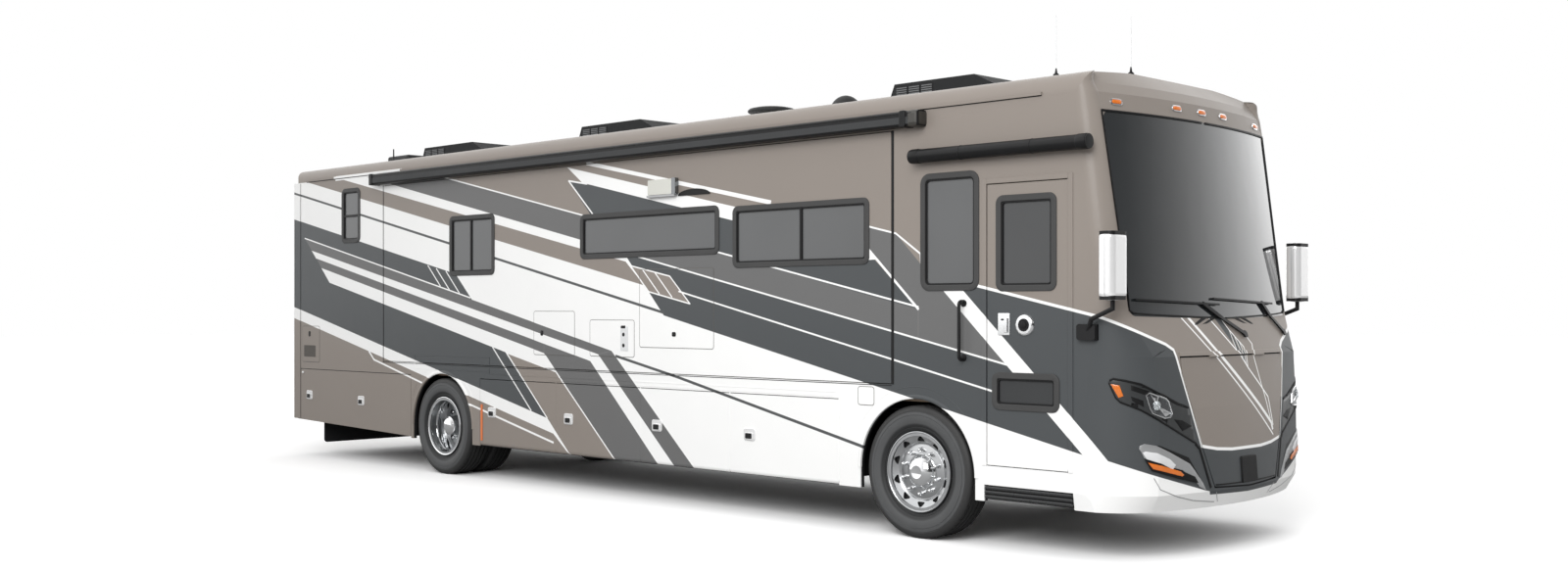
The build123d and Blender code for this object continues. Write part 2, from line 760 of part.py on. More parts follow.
flap_place = aft(2848)
flap_corner = 40
flap_arm = 30
flap_half = 1080
flap_thickness = 10
flap_low_z = 150
flap_high_z = 470
receiver_half = 31.75
receiver_bore = 25.9
receiver_length = 240
receiver_z = rear_skirt_z - 40
hitch_pin_radius = 8
hitch_pin_back = 64
hitch_beam_deep = 80
hitch_beam_height = 90
hitch_back = at(rear_end) + rear_bow

with BuildPart() as hitch:
    with BuildSketch(Plane.YZ.offset(hitch_back)):
        with Locations((0, receiver_z)):
            Rectangle(2 * receiver_half, 2 * receiver_half)
            Rectangle(2 * receiver_bore, 2 * receiver_bore, mode=Mode.SUBTRACT)
    extrude(amount=receiver_length)
    with BuildSketch(Plane.YZ.offset(hitch_back + receiver_length)):
        with Locations((0, receiver_z)):
            Rectangle(2 * (rail_half + rail_width / 2), hitch_beam_height)
    extrude(amount=hitch_beam_deep)
    for side in (1, -1):
        with BuildSketch(Plane.XY.offset(receiver_z - hitch_beam_height / 2)):
            with Locations((hitch_back + receiver_length + hitch_beam_deep / 2, side * rail_half)):
                Rectangle(hitch_beam_deep, rail_width)
        extrude(amount=rail_low_z - receiver_z + hitch_beam_height / 2)
    with BuildSketch(Plane.XZ.offset(-2 * receiver_half)):
        with Locations((hitch_back + hitch_pin_back, receiver_z)):
            Circle(hitch_pin_radius)
    extrude(amount=4 * receiver_half, mode=Mode.SUBTRACT)
keep(hitch.part, "hitch")

with BuildPart() as mud_flap:
    with BuildSketch(Plane.YZ.offset(at(flap_place))):
        with Locations((0, (flap_low_z + flap_high_z) / 2)):
            RectangleRounded(2 * flap_half, flap_high_z - flap_low_z, flap_corner)
    extrude(amount=flap_thickness)
    for side in (1, -1):
        with BuildSketch(Plane.XY.offset(flap_high_z - flap_corner)):
            with Locations((at(flap_place) + flap_thickness + flap_arm / 2, side * rail_half)):
                Rectangle(flap_arm, rail_width)
        extrude(amount=rail_low_z - flap_high_z + flap_corner)
keep(mud_flap.part, "mud_flap")

# ---------------------------------------------------------------- wheels
bead_radius = 286
flange_radius = 308.5
rim_width = 232
rim_wall = 12
spindle_radius = 45
hub_radius = 118
hand_holes = 10
hand_hole_radius = 27
hand_hole_circle = 222
front_disc_in = 62
rear_disc_in = 214
disc_thickness = 22
tread_corner = 22
tread_shoulder = 12
tread_crown = 10
bead_seat = 8
hub_step = 50
hub_taper = 24
front_hub_in = 8
rear_hub_in = 60


def wheel_axis(x, y):
    """The line that a wheel turns about."""
    return Axis((x, y, axle_z), (0, 1, 0))


def tyre_section(middle):
    """Adds half a tyre's section, as radius and outward place, to the sketch that is open."""
    bead = rim_width / 2 - rim_wall - seat_gap
    tread = tyre_width / 2 - tread_corner
    low = (flange_radius + bead_seat, middle - bead)
    high = (flange_radius + bead_seat, middle + bead)
    bulge = (flange_radius + tyre_radius) / 2
    with BuildLine() as edge:
        Polyline(low, (bead_radius + seat_gap, middle - bead), (bead_radius + seat_gap, middle + bead), high)
        shoulder = tread + tread_shoulder
        ThreePointArc(high, (bulge, middle + tyre_width / 2), (tyre_radius - tread_corner, middle + shoulder))
        Polyline((tyre_radius - tread_corner, middle + shoulder), (tyre_radius, middle + tread - tread_crown),
                 (tyre_radius, middle - tread + tread_crown), (tyre_radius - tread_corner, middle - shoulder))
        ThreePointArc((tyre_radius - tread_corner, middle - shoulder), (bulge, middle - tyre_width / 2), low)
    make_face(edge.edges())


def rim_section(middle, disc_out, hub_out):
    """Adds half a rim's section: its disc ends at disc_out and its hub at hub_out, measured outward."""
    edge = rim_width / 2
    inner = bead_radius - rim_wall
    disc_in = disc_out - disc_thickness
    polygon([
        (spindle_radius + seat_gap, disc_in - hub_step), (hub_radius, disc_in - hub_step), (hub_radius, disc_in),
        (inner, disc_in), (inner, middle - edge), (flange_radius, middle - edge),
        (flange_radius, middle - edge + rim_wall), (bead_radius, middle - edge + rim_wall),
        (bead_radius, middle + edge - rim_wall), (flange_radius, middle + edge - rim_wall),
        (flange_radius, middle + edge), (inner, middle + edge), (inner, disc_out),
        (hub_radius, disc_out), (hub_radius - hub_taper, hub_out), (spindle_radius + seat_gap, hub_out),
    ])


front_disc_out = rim_width / 2 - front_disc_in
rear_disc_out = rim_width / 2 - rear_disc_in
front_hub_out = rim_width / 2 - front_hub_in
rear_hub_out = rim_width / 2 - rear_hub_in
spindle_short = 20

for name, side in SIDES:
    wheel_y = -side * track_half
    for corner, wheel_x in (("front", front_axle_x), ("rear", rear_axle_x)):
        plane = Plane(origin=(wheel_x, wheel_y, axle_z), x_dir=(1, 0, 0), z_dir=(0, 0, side * -1))
        middles = (0,) if corner == "front" else (0, -twin_spacing)
        with BuildPart() as tyre:
            for middle in middles:
                with BuildSketch(plane):
                    tyre_section(middle)
                revolve(axis=wheel_axis(wheel_x, wheel_y))
        keep(tyre.part, f"{corner}_{name}_tyre" if corner == "front" else f"{corner}_{name}_tyres")
        with BuildPart() as rim:
            with BuildSketch(plane):
                if corner == "front":
                    rim_section(0, front_disc_out, front_hub_out)
                else:
                    rim_section(0, rear_disc_out, rear_hub_out)
            revolve(axis=wheel_axis(wheel_x, wheel_y))
            holes = Plane(origin=(wheel_x, wheel_y, axle_z), x_dir=(1, 0, 0), z_dir=(0, 1, 0))
            if corner == "rear":
                near = -twin_spacing + rim_width / 2
                far = -twin_spacing - rim_width / 2
                inner = bead_radius - rim_wall
                face = rear_disc_out - disc_thickness
                with BuildSketch(plane):
                    polygon([
                        (hub_radius, face - disc_thickness), (hub_radius, face), (bead_radius, face),
                        (bead_radius, near), (flange_radius, near), (flange_radius, near - rim_wall),
                        (bead_radius, near - rim_wall), (bead_radius, far + rim_wall),
                        (flange_radius, far + rim_wall), (flange_radius, far), (inner, far),
                        (inner, face - disc_thickness),
                    ])
                revolve(axis=wheel_axis(wheel_x, wheel_y))
            with BuildSketch(holes.offset(-2 * rim_width)):
                with PolarLocations(hand_hole_circle, hand_holes):
                    Circle(hand_hole_radius)
            extrude(amount=4 * rim_width, mode=Mode.SUBTRACT)
        keep(rim.part, f"{corner}_{name}_rim" if corner == "front" else f"{corner}_{name}_rims")

# ---------------------------------------------------------------- knuckles and axles
kingpin_half = track_half - 207
kingpin_radius = 22
kingpin_reach = 130
boss_radius = 48
boss_half = 55
ear_height = 34
ear_radius = 52
web_out = 70
beam_width = 110
beam_height = 90
bag_radius = 115
pad_radius = 130
boss_gap = 1
web_thickness = 40
beam_taper = 30

for name, side in SIDES:
    pin_y = -side * kingpin_half
    with BuildPart() as knuckle:
        for low_z in (axle_z + boss_half + boss_gap, axle_z - boss_half - boss_gap - ear_height):
            with BuildSketch(Plane.XY.offset(low_z)):
                with Locations((front_axle_x, pin_y)):
                    Circle(ear_radius)
                with Locations((front_axle_x, pin_y - side * web_out / 2)):
                    Rectangle(2 * ear_radius, web_out)
                with Locations((front_axle_x, pin_y)):
                    Circle(kingpin_radius + seat_gap, mode=Mode.SUBTRACT)
            extrude(amount=ear_height)
        web_low = axle_z - boss_half - boss_gap - ear_height
        with BuildSketch(Plane.XY.offset(web_low)):
            with Locations((front_axle_x, pin_y - side * (web_out + web_thickness / 4))):
                Rectangle(2 * ear_radius, web_thickness)
        extrude(amount=2 * (axle_z - web_low))
        with BuildSketch(Plane(origin=(front_axle_x, pin_y - side * web_out, axle_z), z_dir=(0, -side, 0))):
            Circle(spindle_radius)
        extrude(amount=track_half - kingpin_half - web_out + front_hub_out - spindle_short)
    keep(knuckle.part, f"{name}_knuckle")

with BuildPart() as front_axle:
    with BuildSketch(Plane.XZ.offset(-kingpin_half)):
        with Locations((front_axle_x, axle_z)):
            Rectangle(beam_width - beam_taper, beam_height)
    extrude(amount=2 * kingpin_half)
    for side in (1, -1):
        with BuildSketch(Plane.XY.offset(axle_z - boss_half)):
            with Locations((front_axle_x, side * kingpin_half)):
                Circle(boss_radius)
        extrude(amount=2 * boss_half)
        with BuildSketch(Plane.XY.offset(axle_z - kingpin_reach)):
            with Locations((front_axle_x, side * kingpin_half)):
                Circle(kingpin_radius)
        extrude(amount=2 * kingpin_reach)
        with BuildSketch(Plane.XY.offset(axle_z)):
            with Locations((front_axle_x, side * rail_half)):
                Circle(bag_radius)
        extrude(amount=rail_low_z - axle_z)
keep(front_axle.part, "front_axle")

axle_tube_radius = 62
diff_radius = 185
diff_half = 160
arm_reach = 330
arm_width = 90
arm_height = 60

pinion_radius = 75
pinion_reach = 420
rear_spindle_out = track_half + rear_hub_out - spindle_short
with BuildPart() as rear_axle:
    with BuildSketch(Plane.XZ.offset(-rear_spindle_out)):
        with Locations((rear_axle_x, axle_z)):
            Circle(spindle_radius)
    extrude(amount=2 * rear_spindle_out)
    with BuildSketch(Plane.XZ.offset(-well_in_y)):
        with Locations((rear_axle_x, axle_z)):
            Circle(axle_tube_radius)
    extrude(amount=2 * well_in_y)
    with BuildSketch(Plane.XZ.offset(-diff_half)):
        with Locations((rear_axle_x, axle_z)):
            Circle(diff_radius)
    extrude(amount=2 * diff_half)
    with BuildSketch(Plane.YZ.offset(rear_axle_x)):
        with Locations((0, axle_z)):
            Circle(pinion_radius)
    extrude(amount=-pinion_reach)
    for side in (1, -1):
        with BuildSketch(Plane.XY.offset(axle_z - axle_tube_radius - arm_height / 2)):
            with Locations((rear_axle_x, side * rail_half)):
                Rectangle(2 * arm_reach, arm_width)
        extrude(amount=arm_height)
        with BuildSketch(Plane.XY.offset(axle_z - axle_tube_radius)):
            with Locations((rear_axle_x - arm_reach + bag_radius, side * rail_half),
                           (rear_axle_x + arm_reach - bag_radius, side * rail_half)):
                Circle(bag_radius)
        extrude(amount=rail_low_z - axle_z + axle_tube_radius)
keep(rear_axle.part, "rear_axle")

# ---------------------------------------------------------------- cab
# Driver's and passenger's seats: place and middle, with one profile from its own middle: forward, above the floor
SEATS = ((330, 700), (250, -640))
SEAT_PROFILE = ((270, 300), (280, 430), (-160, 400), (-290, 1060), (-400, 1040), (-270, 300))
seat_width = 520
seat_foot = 360
seat_foot_corner = 30

with BuildPart() as cab_seats:
    for place, middle_y in SEATS:
        with BuildSketch(Plane.XY.offset(floor_top_z)):
            with Locations((at(place), middle_y)):
                RectangleRounded(seat_foot, seat_foot, seat_foot_corner)
        extrude(amount=SEAT_PROFILE[0][1])
        with BuildSketch(Plane.XZ.offset(-middle_y - seat_width / 2)):
            polygon([(at(place) + ahead, floor_top_z + above) for ahead, above in SEAT_PROFILE])
        extrude(amount=seat_width)
keep(cab_seats.part, "cab_seats")

# Dashboard, seen from the side: the lip is its edge nearest the driver
dash_half = 1040
dash_toe = 1500
dash_heel = 1400
dash_lip = 1340
dash_lip_z = 1560
dash_front = 1640
dash_front_z = 1620
dash_crest_z = 1640

with BuildPart() as dashboard:
    with BuildSketch(Plane.XZ.offset(-dash_half)):
        polygon([(at(dash_toe), floor_top_z), (at(dash_front), dash_lip_z), (at(dash_front), dash_front_z),
                 (at(dash_heel), dash_crest_z), (at(dash_lip), dash_lip_z), (at(dash_heel), floor_top_z)])
    extrude(amount=2 * dash_half)
keep(dashboard.part, "dashboard")

wheel_ring_radius = 225
wheel_tube_radius = 15
spoke_width = 40
spoke_thickness = 14
column_radius = 32
column_length = 200
column_back = 0.8
column_rise = 0.6
column_foot = (
    at(dash_lip) - column_rise * column_radius - seat_gap,
    SEATS[0][1],
    dash_lip_z - column_back * column_radius,
)
column = Plane(origin=column_foot, x_dir=(0, 1, 0), z_dir=(-column_back, 0, column_rise))
ring_at = column_length - wheel_tube_radius

with BuildPart() as steering_wheel:
    with BuildSketch(column):
        Circle(column_radius)
    extrude(amount=column_length)
    with BuildSketch(column.offset(ring_at - spoke_thickness / 2)):
        Rectangle(2 * wheel_ring_radius, spoke_width)
    extrude(amount=spoke_thickness)
    with BuildSketch(Plane(origin=column.offset(ring_at).origin, x_dir=(0, 1, 0),
                           z_dir=(column_rise, 0, column_back))):
        with Locations((wheel_ring_radius, 0)):
            Circle(wheel_tube_radius)
    revolve(axis=Axis(column.origin, column.z_dir))
keep(steering_wheel.part, "steering_wheel")

# ---------------------------------------------------------------- roof units and aerials
# Air conditioners: front and back of the base
AIR_UNITS = ((170, -1060), (-4000, -5330), (aft(498), aft(1868)))
air_half = 350
air_rise = 200
air_lip = 40
air_nose = 330
air_tail = 60
vent_span = (aft(2408), aft(2848))
vent_width = 420
vent_corner = 40
vent_rise = 110
with BuildPart() as air_units:
    for front, back in AIR_UNITS:
        with BuildSketch(Plane.XZ.offset(-air_half)):
            polygon([(at(front), roof_z + seat_gap), (at(front), roof_z + air_lip),
                     (at(front) - air_nose, roof_z + air_rise), (at(back) + air_tail, roof_z + air_rise),
                     (at(back), roof_z + air_tail), (at(back), roof_z + seat_gap)])
        extrude(amount=2 * air_half)
    with BuildSketch(Plane.XY.offset(roof_z + seat_gap)):
        with Locations((at((vent_span[0] + vent_span[1]) / 2), 0)):
            RectangleRounded(vent_span[0] - vent_span[1], vent_width, vent_corner)
    extrude(amount=vent_rise)
keep(air_units.part, "air_conditioners")

dish_place = (-2515, -300)
dish_radius = 300
dish_stem_radius = 60
dish_stem = 120
dish_thickness = 60
dish_root = 5
dish_taper = 20
dome_place = (-1600, -300)
dome_radius = 175
dome_rise = 90
WHIPS = ((760, -540, 3970), (1200, -200, 3950))
whip_foot_radius = 28
whip_foot = 45
whip_radius = 4
with BuildPart() as roof_aerials:
    with BuildSketch(Plane.XY.offset(roof_z + seat_gap)):
        with Locations((at(dish_place[0]), dish_place[1])):
            Circle(dish_stem_radius)
    extrude(amount=dish_stem)
    with BuildSketch(Plane.XY.offset(roof_z + dish_stem - dish_root)):
        with Locations((at(dish_place[0]), dish_place[1])):
            Circle(dish_radius)
    extrude(amount=dish_thickness, taper=dish_taper)
    with BuildSketch(Plane.XY.offset(roof_z + seat_gap)):
        with Locations((at(dome_place[0]), dome_place[1])):
            Circle(dome_radius)
    extrude(amount=dome_rise)
    for place, y, top in WHIPS:
        with BuildSketch(Plane.XY.offset(roof_z + seat_gap)):
            with Locations((at(place), y)):
                Circle(whip_foot_radius)
        extrude(amount=whip_foot)
        with BuildSketch(Plane.XY.offset(roof_z + seat_gap)):
            with Locations((at(place), y)):
                Circle(whip_radius)
        extrude(amount=top - roof_z)
keep(roof_aerials.part, "roof_aerials")

# ---------------------------------------------------------------- awnings, mirrors, wipers and grab handle
awning_span = (aft(1292), 100)
awning_corner = 18
awning_low_z = 3124
awning_high_z = 3240
awning_proud = 105
door_awning_span = (10, 1580)
door_awning_z = 2892
door_awning_radius = 52
door_awning_out = 16
awning_foot_deep = 30
awning_foot_height = 40

with BuildPart() as awnings:
    for side in (1, -1):
        with BuildSketch(Plane.YZ.offset(at(awning_span[0]))):
            with Locations((-side * (half_width + awning_proud / 2), (awning_low_z + awning_high_z) / 2)):
                RectangleRounded(awning_proud, awning_high_z - awning_low_z, awning_corner)
        extrude(amount=awning_span[1] - awning_span[0])
    with BuildSketch(Plane.YZ.offset(at(door_awning_span[0]))):
        with Locations((-half_width - door_awning_radius - door_awning_out, door_awning_z)):
            Circle(door_awning_radius)
        with Locations((-half_width - awning_foot_deep / 2, door_awning_z + awning_foot_height / 2)):
            Rectangle(awning_foot_deep, awning_foot_height)
    extrude(amount=front_seam - door_awning_span[0])
    with BuildSketch(Plane.YZ.offset(at(front_seam))):
        with Locations((-half_width - door_awning_radius - door_awning_out, door_awning_z)):
            Circle(door_awning_radius)
    extrude(amount=door_awning_span[1] - front_seam)
keep(awnings.part, "awnings")

# Wipers, seen from ahead: pivot, where the arm meets the blade, and both ends of the blade, as (y, z)
WIPERS = (
    # pivot, arm_end, blade_low, blade_high
    (WIPER_PIVOTS[0], (-300, 1786), (-1083, 1809), (-79, 1777)),
    (WIPER_PIVOTS[1], (636, 1796), (-149, 1820), (845, 1787)),
)
wiper_air = 8
wiper_deep = 16
wiper_arm_width = 26
wiper_blade_width = 14
wiper_back = 1650
pin_back = 1770
wiper_outer = front_volume(-wiper_air - wiper_deep)
wiper_inner = front_volume(-wiper_air)


def bar(start, end, width):
    """Adds a bar with square ends between two points to the sketch that is open."""
    along = Vector(end[0] - start[0], end[1] - start[1])
    across = Vector(-along.Y, along.X).normalized() * (width / 2)
    polygon([(start[0] + across.X, start[1] + across.Y), (end[0] + across.X, end[1] + across.Y),
             (end[0] - across.X, end[1] - across.Y), (start[0] - across.X, start[1] - across.Y)])


with BuildPart() as wiper_arms:
    with BuildSketch(Plane.YZ.offset(at(wiper_back))):
        for pivot, arm_end, blade_low, blade_high in WIPERS:
            bar(pivot, arm_end, wiper_arm_width)
            bar(blade_low, blade_high, wiper_blade_width)
            with Locations(pivot):
                Circle(wiper_arm_width)
    extrude(amount=front_overhang)
    add(wiper_outer, mode=Mode.INTERSECT)
    add(wiper_inner, mode=Mode.SUBTRACT)

with BuildPart() as wipers:
    with BuildSketch(Plane.YZ.offset(at(pin_back))):
        with Locations(*WIPER_PIVOTS):
            Circle(wiper_bore - seat_gap)
    extrude(amount=front_overhang)
    add(wiper_outer, mode=Mode.INTERSECT)
    add(wiper_arms.part)
keep(wipers.part, "wipers")

mirror_place = 1769
mirror_out = 77.5
mirror_middle_y = half_width + mirror_out
mirror_low_z = 1806
mirror_high_z = 2268
mirror_width = 200
mirror_deep = 120
mirror_base_place = 1530
mirror_base_z = 1585
mirror_corner = 40
base_long = 150
base_tall = 110
base_corner = 20
base_deep = 40
arm_radius = 16
# The arm's way, from the middle of its base: ahead, out from the side, and height
ARM_ELBOW = (60, 60, 90)
arm_drop = 60
arm_into_head = 40

with BuildPart() as mirrors:
    for side in (1, -1):
        base_y = -side * half_width
        with BuildSketch(Plane.XZ.offset(side * half_width)):
            with Locations((at(mirror_base_place), mirror_base_z)):
                RectangleRounded(base_long, base_tall, base_corner)
        extrude(amount=side * base_deep)
        ahead, out, up = ARM_ELBOW
        with BuildLine() as arm_line:
            Polyline((at(mirror_base_place), base_y - side * base_deep / 2, mirror_base_z),
                     (at(mirror_base_place) + ahead, base_y - side * out, mirror_base_z + up),
                     (at(mirror_place), -side * mirror_middle_y, mirror_low_z - arm_drop),
                     (at(mirror_place), -side * mirror_middle_y, mirror_low_z + arm_into_head))
        with BuildSketch(Plane(origin=arm_line.line @ 0, z_dir=arm_line.line % 0)):
            Circle(arm_radius)
        sweep(path=arm_line.line, transition=Transition.RIGHT)
        with BuildSketch(Plane.XY.offset(mirror_low_z)):
            with Locations((at(mirror_place), -side * mirror_middle_y)):
                RectangleRounded(mirror_deep, mirror_width, mirror_corner)
        extrude(amount=mirror_high_z - mirror_low_z)
keep(mirrors.part, "mirrors")

handle_place = 455
handle_low_z = 1371
handle_high_z = 1800
handle_out = 60
handle_bend = 28
handle_radius = 13
with BuildPart() as grab_handle:
    with BuildLine() as handle_line:
        FilletPolyline((at(handle_place), -half_width, handle_low_z),
                       (at(handle_place), -half_width - handle_out, handle_low_z),
                       (at(handle_place), -half_width - handle_out, handle_high_z),
                       (at(handle_place), -half_width, handle_high_z), radius=handle_bend)
    with BuildSketch(Plane(origin=handle_line.line @ 0, z_dir=(0, -1, 0))):
        Circle(handle_radius)
    sweep(path=handle_line.line)
keep(grab_handle.part, "grab_handle")
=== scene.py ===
import math

import bmesh
import bpy
from mathutils import Matrix, Vector
from mathutils.bvhtree import BVHTree


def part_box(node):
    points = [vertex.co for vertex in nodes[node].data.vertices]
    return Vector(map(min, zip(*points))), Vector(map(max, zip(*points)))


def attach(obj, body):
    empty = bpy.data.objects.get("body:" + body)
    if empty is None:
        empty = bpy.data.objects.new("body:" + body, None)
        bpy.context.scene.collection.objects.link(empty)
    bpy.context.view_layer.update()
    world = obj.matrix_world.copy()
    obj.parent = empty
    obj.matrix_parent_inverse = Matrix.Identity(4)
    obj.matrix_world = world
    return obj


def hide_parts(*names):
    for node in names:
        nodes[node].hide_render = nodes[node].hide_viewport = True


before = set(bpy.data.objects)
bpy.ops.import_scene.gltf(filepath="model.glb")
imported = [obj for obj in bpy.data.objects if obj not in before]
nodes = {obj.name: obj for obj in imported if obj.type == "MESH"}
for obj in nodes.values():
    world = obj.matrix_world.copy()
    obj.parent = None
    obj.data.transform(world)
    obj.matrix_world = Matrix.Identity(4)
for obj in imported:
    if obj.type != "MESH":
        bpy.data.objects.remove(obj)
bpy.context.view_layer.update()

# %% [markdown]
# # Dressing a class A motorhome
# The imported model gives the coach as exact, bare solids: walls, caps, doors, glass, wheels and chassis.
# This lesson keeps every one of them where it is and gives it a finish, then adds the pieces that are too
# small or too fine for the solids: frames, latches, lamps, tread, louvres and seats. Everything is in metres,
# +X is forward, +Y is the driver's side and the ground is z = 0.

# %% [markdown]
# ## Places on the coach
# A coach builder measures along the body from the front axle, and so does this lesson. The axle is read from
# the front tyre's box and the skin from the wall's, so that no size is typed twice.

# %% The front axle, the skin and a few levels
tyre_low, tyre_high = (Vector(corner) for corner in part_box("front_right_tyre"))
wall_low, wall_high = (Vector(corner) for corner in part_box("right_wall"))
AXLE_X = (tyre_low.x + tyre_high.x) / 2
HALF = -wall_low.y
TYRE_RADIUS = (tyre_high.z - tyre_low.z) / 2
EAVE = wall_high.z
SIDES = (("right", 1), ("left", -1))
print("front axle", round(AXLE_X, 4), "half width", round(HALF, 4), "tyre radius", round(TYRE_RADIUS, 4))


def at(place):
    """X of a place along the body that is given from the front axle."""
    return AXLE_X + place


# %% [markdown]
# ## Camera
# The coach is seen from its front corner at eye level, with the door side towards us. A lens of about 35 mm
# keeps the upright edges upright, because the camera is level and only its frame is shifted a little.

# %% The camera
camera_data = bpy.data.cameras.new("camera")
camera_data.sensor_fit = "HORIZONTAL"
camera_data.sensor_width = 36.0
camera_data.lens = 34.73
camera_data.shift_y = 0.0151
camera_data.clip_end = 400.0
camera = bpy.data.objects.new("camera", camera_data)
camera.location = (11.1166, -10.1827, 1.7430)
camera.rotation_euler = (math.radians(90), 0.0, math.radians(44.359))
bpy.context.scene.collection.objects.link(camera)
bpy.context.scene.camera = camera
print("camera", tuple(round(value, 3) for value in camera.location))

# %% [markdown]
# ## Small helpers for node materials
# A procedural finish is a graph of nodes. Four short functions are enough to write one as plain sums: one adds
# any node, one adds a Math node, one adds a noise, and one opens a new material with its shader.

# %% Node helpers
def add_node(tree, kind, inputs=None, **settings):
    """Adds a node, sets it up and wires or fills its inputs; gives the node."""
    node = tree.nodes.new(kind)
    for name, value in settings.items():
        setattr(node, name, value)
    for socket, value in (inputs or {}).items():
        if isinstance(value, bpy.types.NodeSocket):
            tree.links.new(value, node.inputs[socket])
        else:
            node.inputs[socket].default_value = value
    return node


def sums(tree, operation, *values, clamp=False):
    """A Math node on sockets or numbers."""
    node = add_node(tree, "ShaderNodeMath", dict(enumerate(values)), operation=operation, use_clamp=clamp)
    return node.outputs[0]


def noise(tree, vector, scale, detail=3.0, roughness=0.55):
    """A noise between 0 and 1."""
    settings = {"Vector": vector, "Scale": scale, "Detail": detail, "Roughness": roughness}
    return add_node(tree, "ShaderNodeTexNoise", settings).outputs["Fac"]


def spread(tree, value, low, high):
    """Moves a value between 0 and 1 to lie between low and high."""
    return sums(tree, "MULTIPLY_ADD", value, high - low, low)


def blend(tree, factor, first, second):
    """A colour mix of two colours or colour sockets."""
    node = add_node(tree, "ShaderNodeMix", data_type="RGBA")
    for socket, value in ((0, factor), (6, first), (7, second)):
        if isinstance(value, bpy.types.NodeSocket):
            tree.links.new(value, node.inputs[socket])
        else:
            node.inputs[socket].default_value = value
    return node.outputs[2]


def open_material(name):
    """A new material; gives it, its tree, its shader and its Object coordinates."""
    material = bpy.data.materials.new(name)
    material.use_nodes = True
    tree = material.node_tree
    shader = tree.nodes["Principled BSDF"]
    place = add_node(tree, "ShaderNodeTexCoord").outputs["Object"]
    return material, tree, shader, place


def bump(tree, shader, height, strength, distance):
    """Wires a height into the shader's normal."""
    settings = {"Height": height, "Strength": strength, "Distance": distance}
    tree.links.new(add_node(tree, "ShaderNodeBump", settings).outputs[0], shader.inputs["Normal"])


def rgb(red, green, blue):
    """A colour written as it shows on screen, 0 to 255, as the linear colour that nodes take."""
    linear = [c / 3294.6 if c <= 10 else ((c / 255 + 0.055) / 1.055) ** 2.4 for c in (red, green, blue)]
    return (*linear, 1.0)


# %% [markdown]
# ## The livery
# The coach is painted in long swept bands of taupe, slate, grey and white that run down towards the front and
# break into steep diagonals. A decal would need an image, so the paint is worked out in the shader instead: a
# point on the skin gets two numbers, its height and how far along the wrapped skin it lies, and each band is a
# convex polygon in those two numbers. A point is inside a polygon when it is on the inner side of every edge,
# and each edge test is one dot product. The bands are laid on in order, as a painter masks them.

# %% Colours of the livery
WHITE = rgb(242, 242, 241)
TAUPE = rgb(136, 128, 121)
SLATE = rgb(71, 74, 76)
GREY = rgb(101, 101, 101)
LINE_DARK = rgb(78, 80, 81)

# %% [markdown]
# The bands are listed from the one that is painted first. Their corners are (along, height) in metres, along
# from the front axle. Behind the rear corner and past the front corner "along" goes on over the end of the
# coach, so that a band turns the corner in one sweep.

# %% Bands, as convex polygons
BANDS = (
    # upper coach, all above the long line from the rear eave to the front arch
    (TAUPE, ((-8.13, 3.5), (3.6, 3.5), (3.6, 1.0), (-0.256, 1.819))),
    # taupe band that rises to the rear eave
    (TAUPE, ((-9.78, 3.5), (-3.43, 2.179), (-3.17, 1.9585), (-10.51, 3.5))),
    # long grey band with its open arrow end beside the front window
    (GREY, ((-9.227, 3.5), (-8.13, 3.5), (0.022, 1.76), (0.022, 1.5184))),
    (GREY, ((0.022, 1.5184), (0.022, 2.106), (0.86, 1.339))),
    (GREY, ((-0.486, 2.217), (-0.48, 2.389), (-0.2, 2.325), (0.244, 1.889), (0.022, 1.744))),
    # slate field behind the door
    (SLATE, ((-3.46, 2.264), (0.86, 1.339), (1.481, 0.736), (-2.9, 1.687))),
    (SLATE, ((-4.28, 2.97), (-4.0, 2.925), (-0.486, 2.19), (0.022, 1.744), (-3.914, 2.60))),
    (WHITE, ((-4.30, 3.10), (-0.49, 2.30), (-0.49, 2.127), (-4.0, 2.925), (-4.07, 2.94))),
    (WHITE, ((-0.49, 2.217), (-0.38, 2.13), (-0.49, 2.127))),
    (TAUPE, ((-3.36, 2.14), (-2.82, 2.036), (-2.552, 1.79), (-3.105, 1.90))),
    # white sweep under the front window, then the slate front corner
    (WHITE, ((0.036, 2.167), (0.439, 1.889), (1.71, 0.69), (1.53, 0.69), (0.04, 2.089))),
    (SLATE, ((0.43, 1.945), (1.6, 1.694), (2.3, 1.5), (2.39, 1.46), (2.854, 0.45), (2.74, 0.475),
             (2.13, 0.59), (1.71, 0.69), (0.439, 1.889))),
    (SLATE, ((2.64, 0.90), (3.6, 0.90), (3.6, 0.42), (2.8, 0.44))),
    (TAUPE, ((2.39, 1.46), (3.6, 1.46), (3.6, 0.744), (3.10, 0.744), (2.90, 0.757), (2.70, 0.785))),
    # rear quarter
    (SLATE, ((-11.2, 3.147), (-6.2, 2.112), (-4.617, 0.683), (-11.2, 2.105))),
    (TAUPE, ((-5.283, 1.298), (-4.474, 1.131), (-3.53, 0.3), (-4.20, 0.3))),
    (TAUPE, ((-11.2, 1.972), (-4.52, 0.538), (-4.20, 0.3), (-11.2, 0.3))),
    (WHITE, ((-11.2, 2.105), (-4.80, 0.7225), (-4.64, 0.565), (-11.2, 1.972))),
    (GREY, ((-9.39, 2.588), (-3.635, 1.357), (-3.832, 1.3205), (-9.2246, 2.436))),
    (GREY, ((-3.832, 1.3205), (-3.635, 1.357), (-2.44, 0.3), (-2.70, 0.3))),
    (WHITE, ((-9.2246, 2.436), (-3.832, 1.3205), (-3.95, 1.255), (-9.12, 2.34))),
    (GREY, ((-9.11, 2.34), (-4.664, 1.4056), (-4.664, 1.314), (-8.996, 2.226))),
    (GREY, ((-4.664, 1.4056), (-3.95, 1.255), (-2.924, 0.3), (-3.53, 0.3), (-4.664, 1.314))),
    (WHITE, ((-8.996, 2.226), (-4.664, 1.314), (-4.47, 1.133), (-8.807, 2.052))),
)

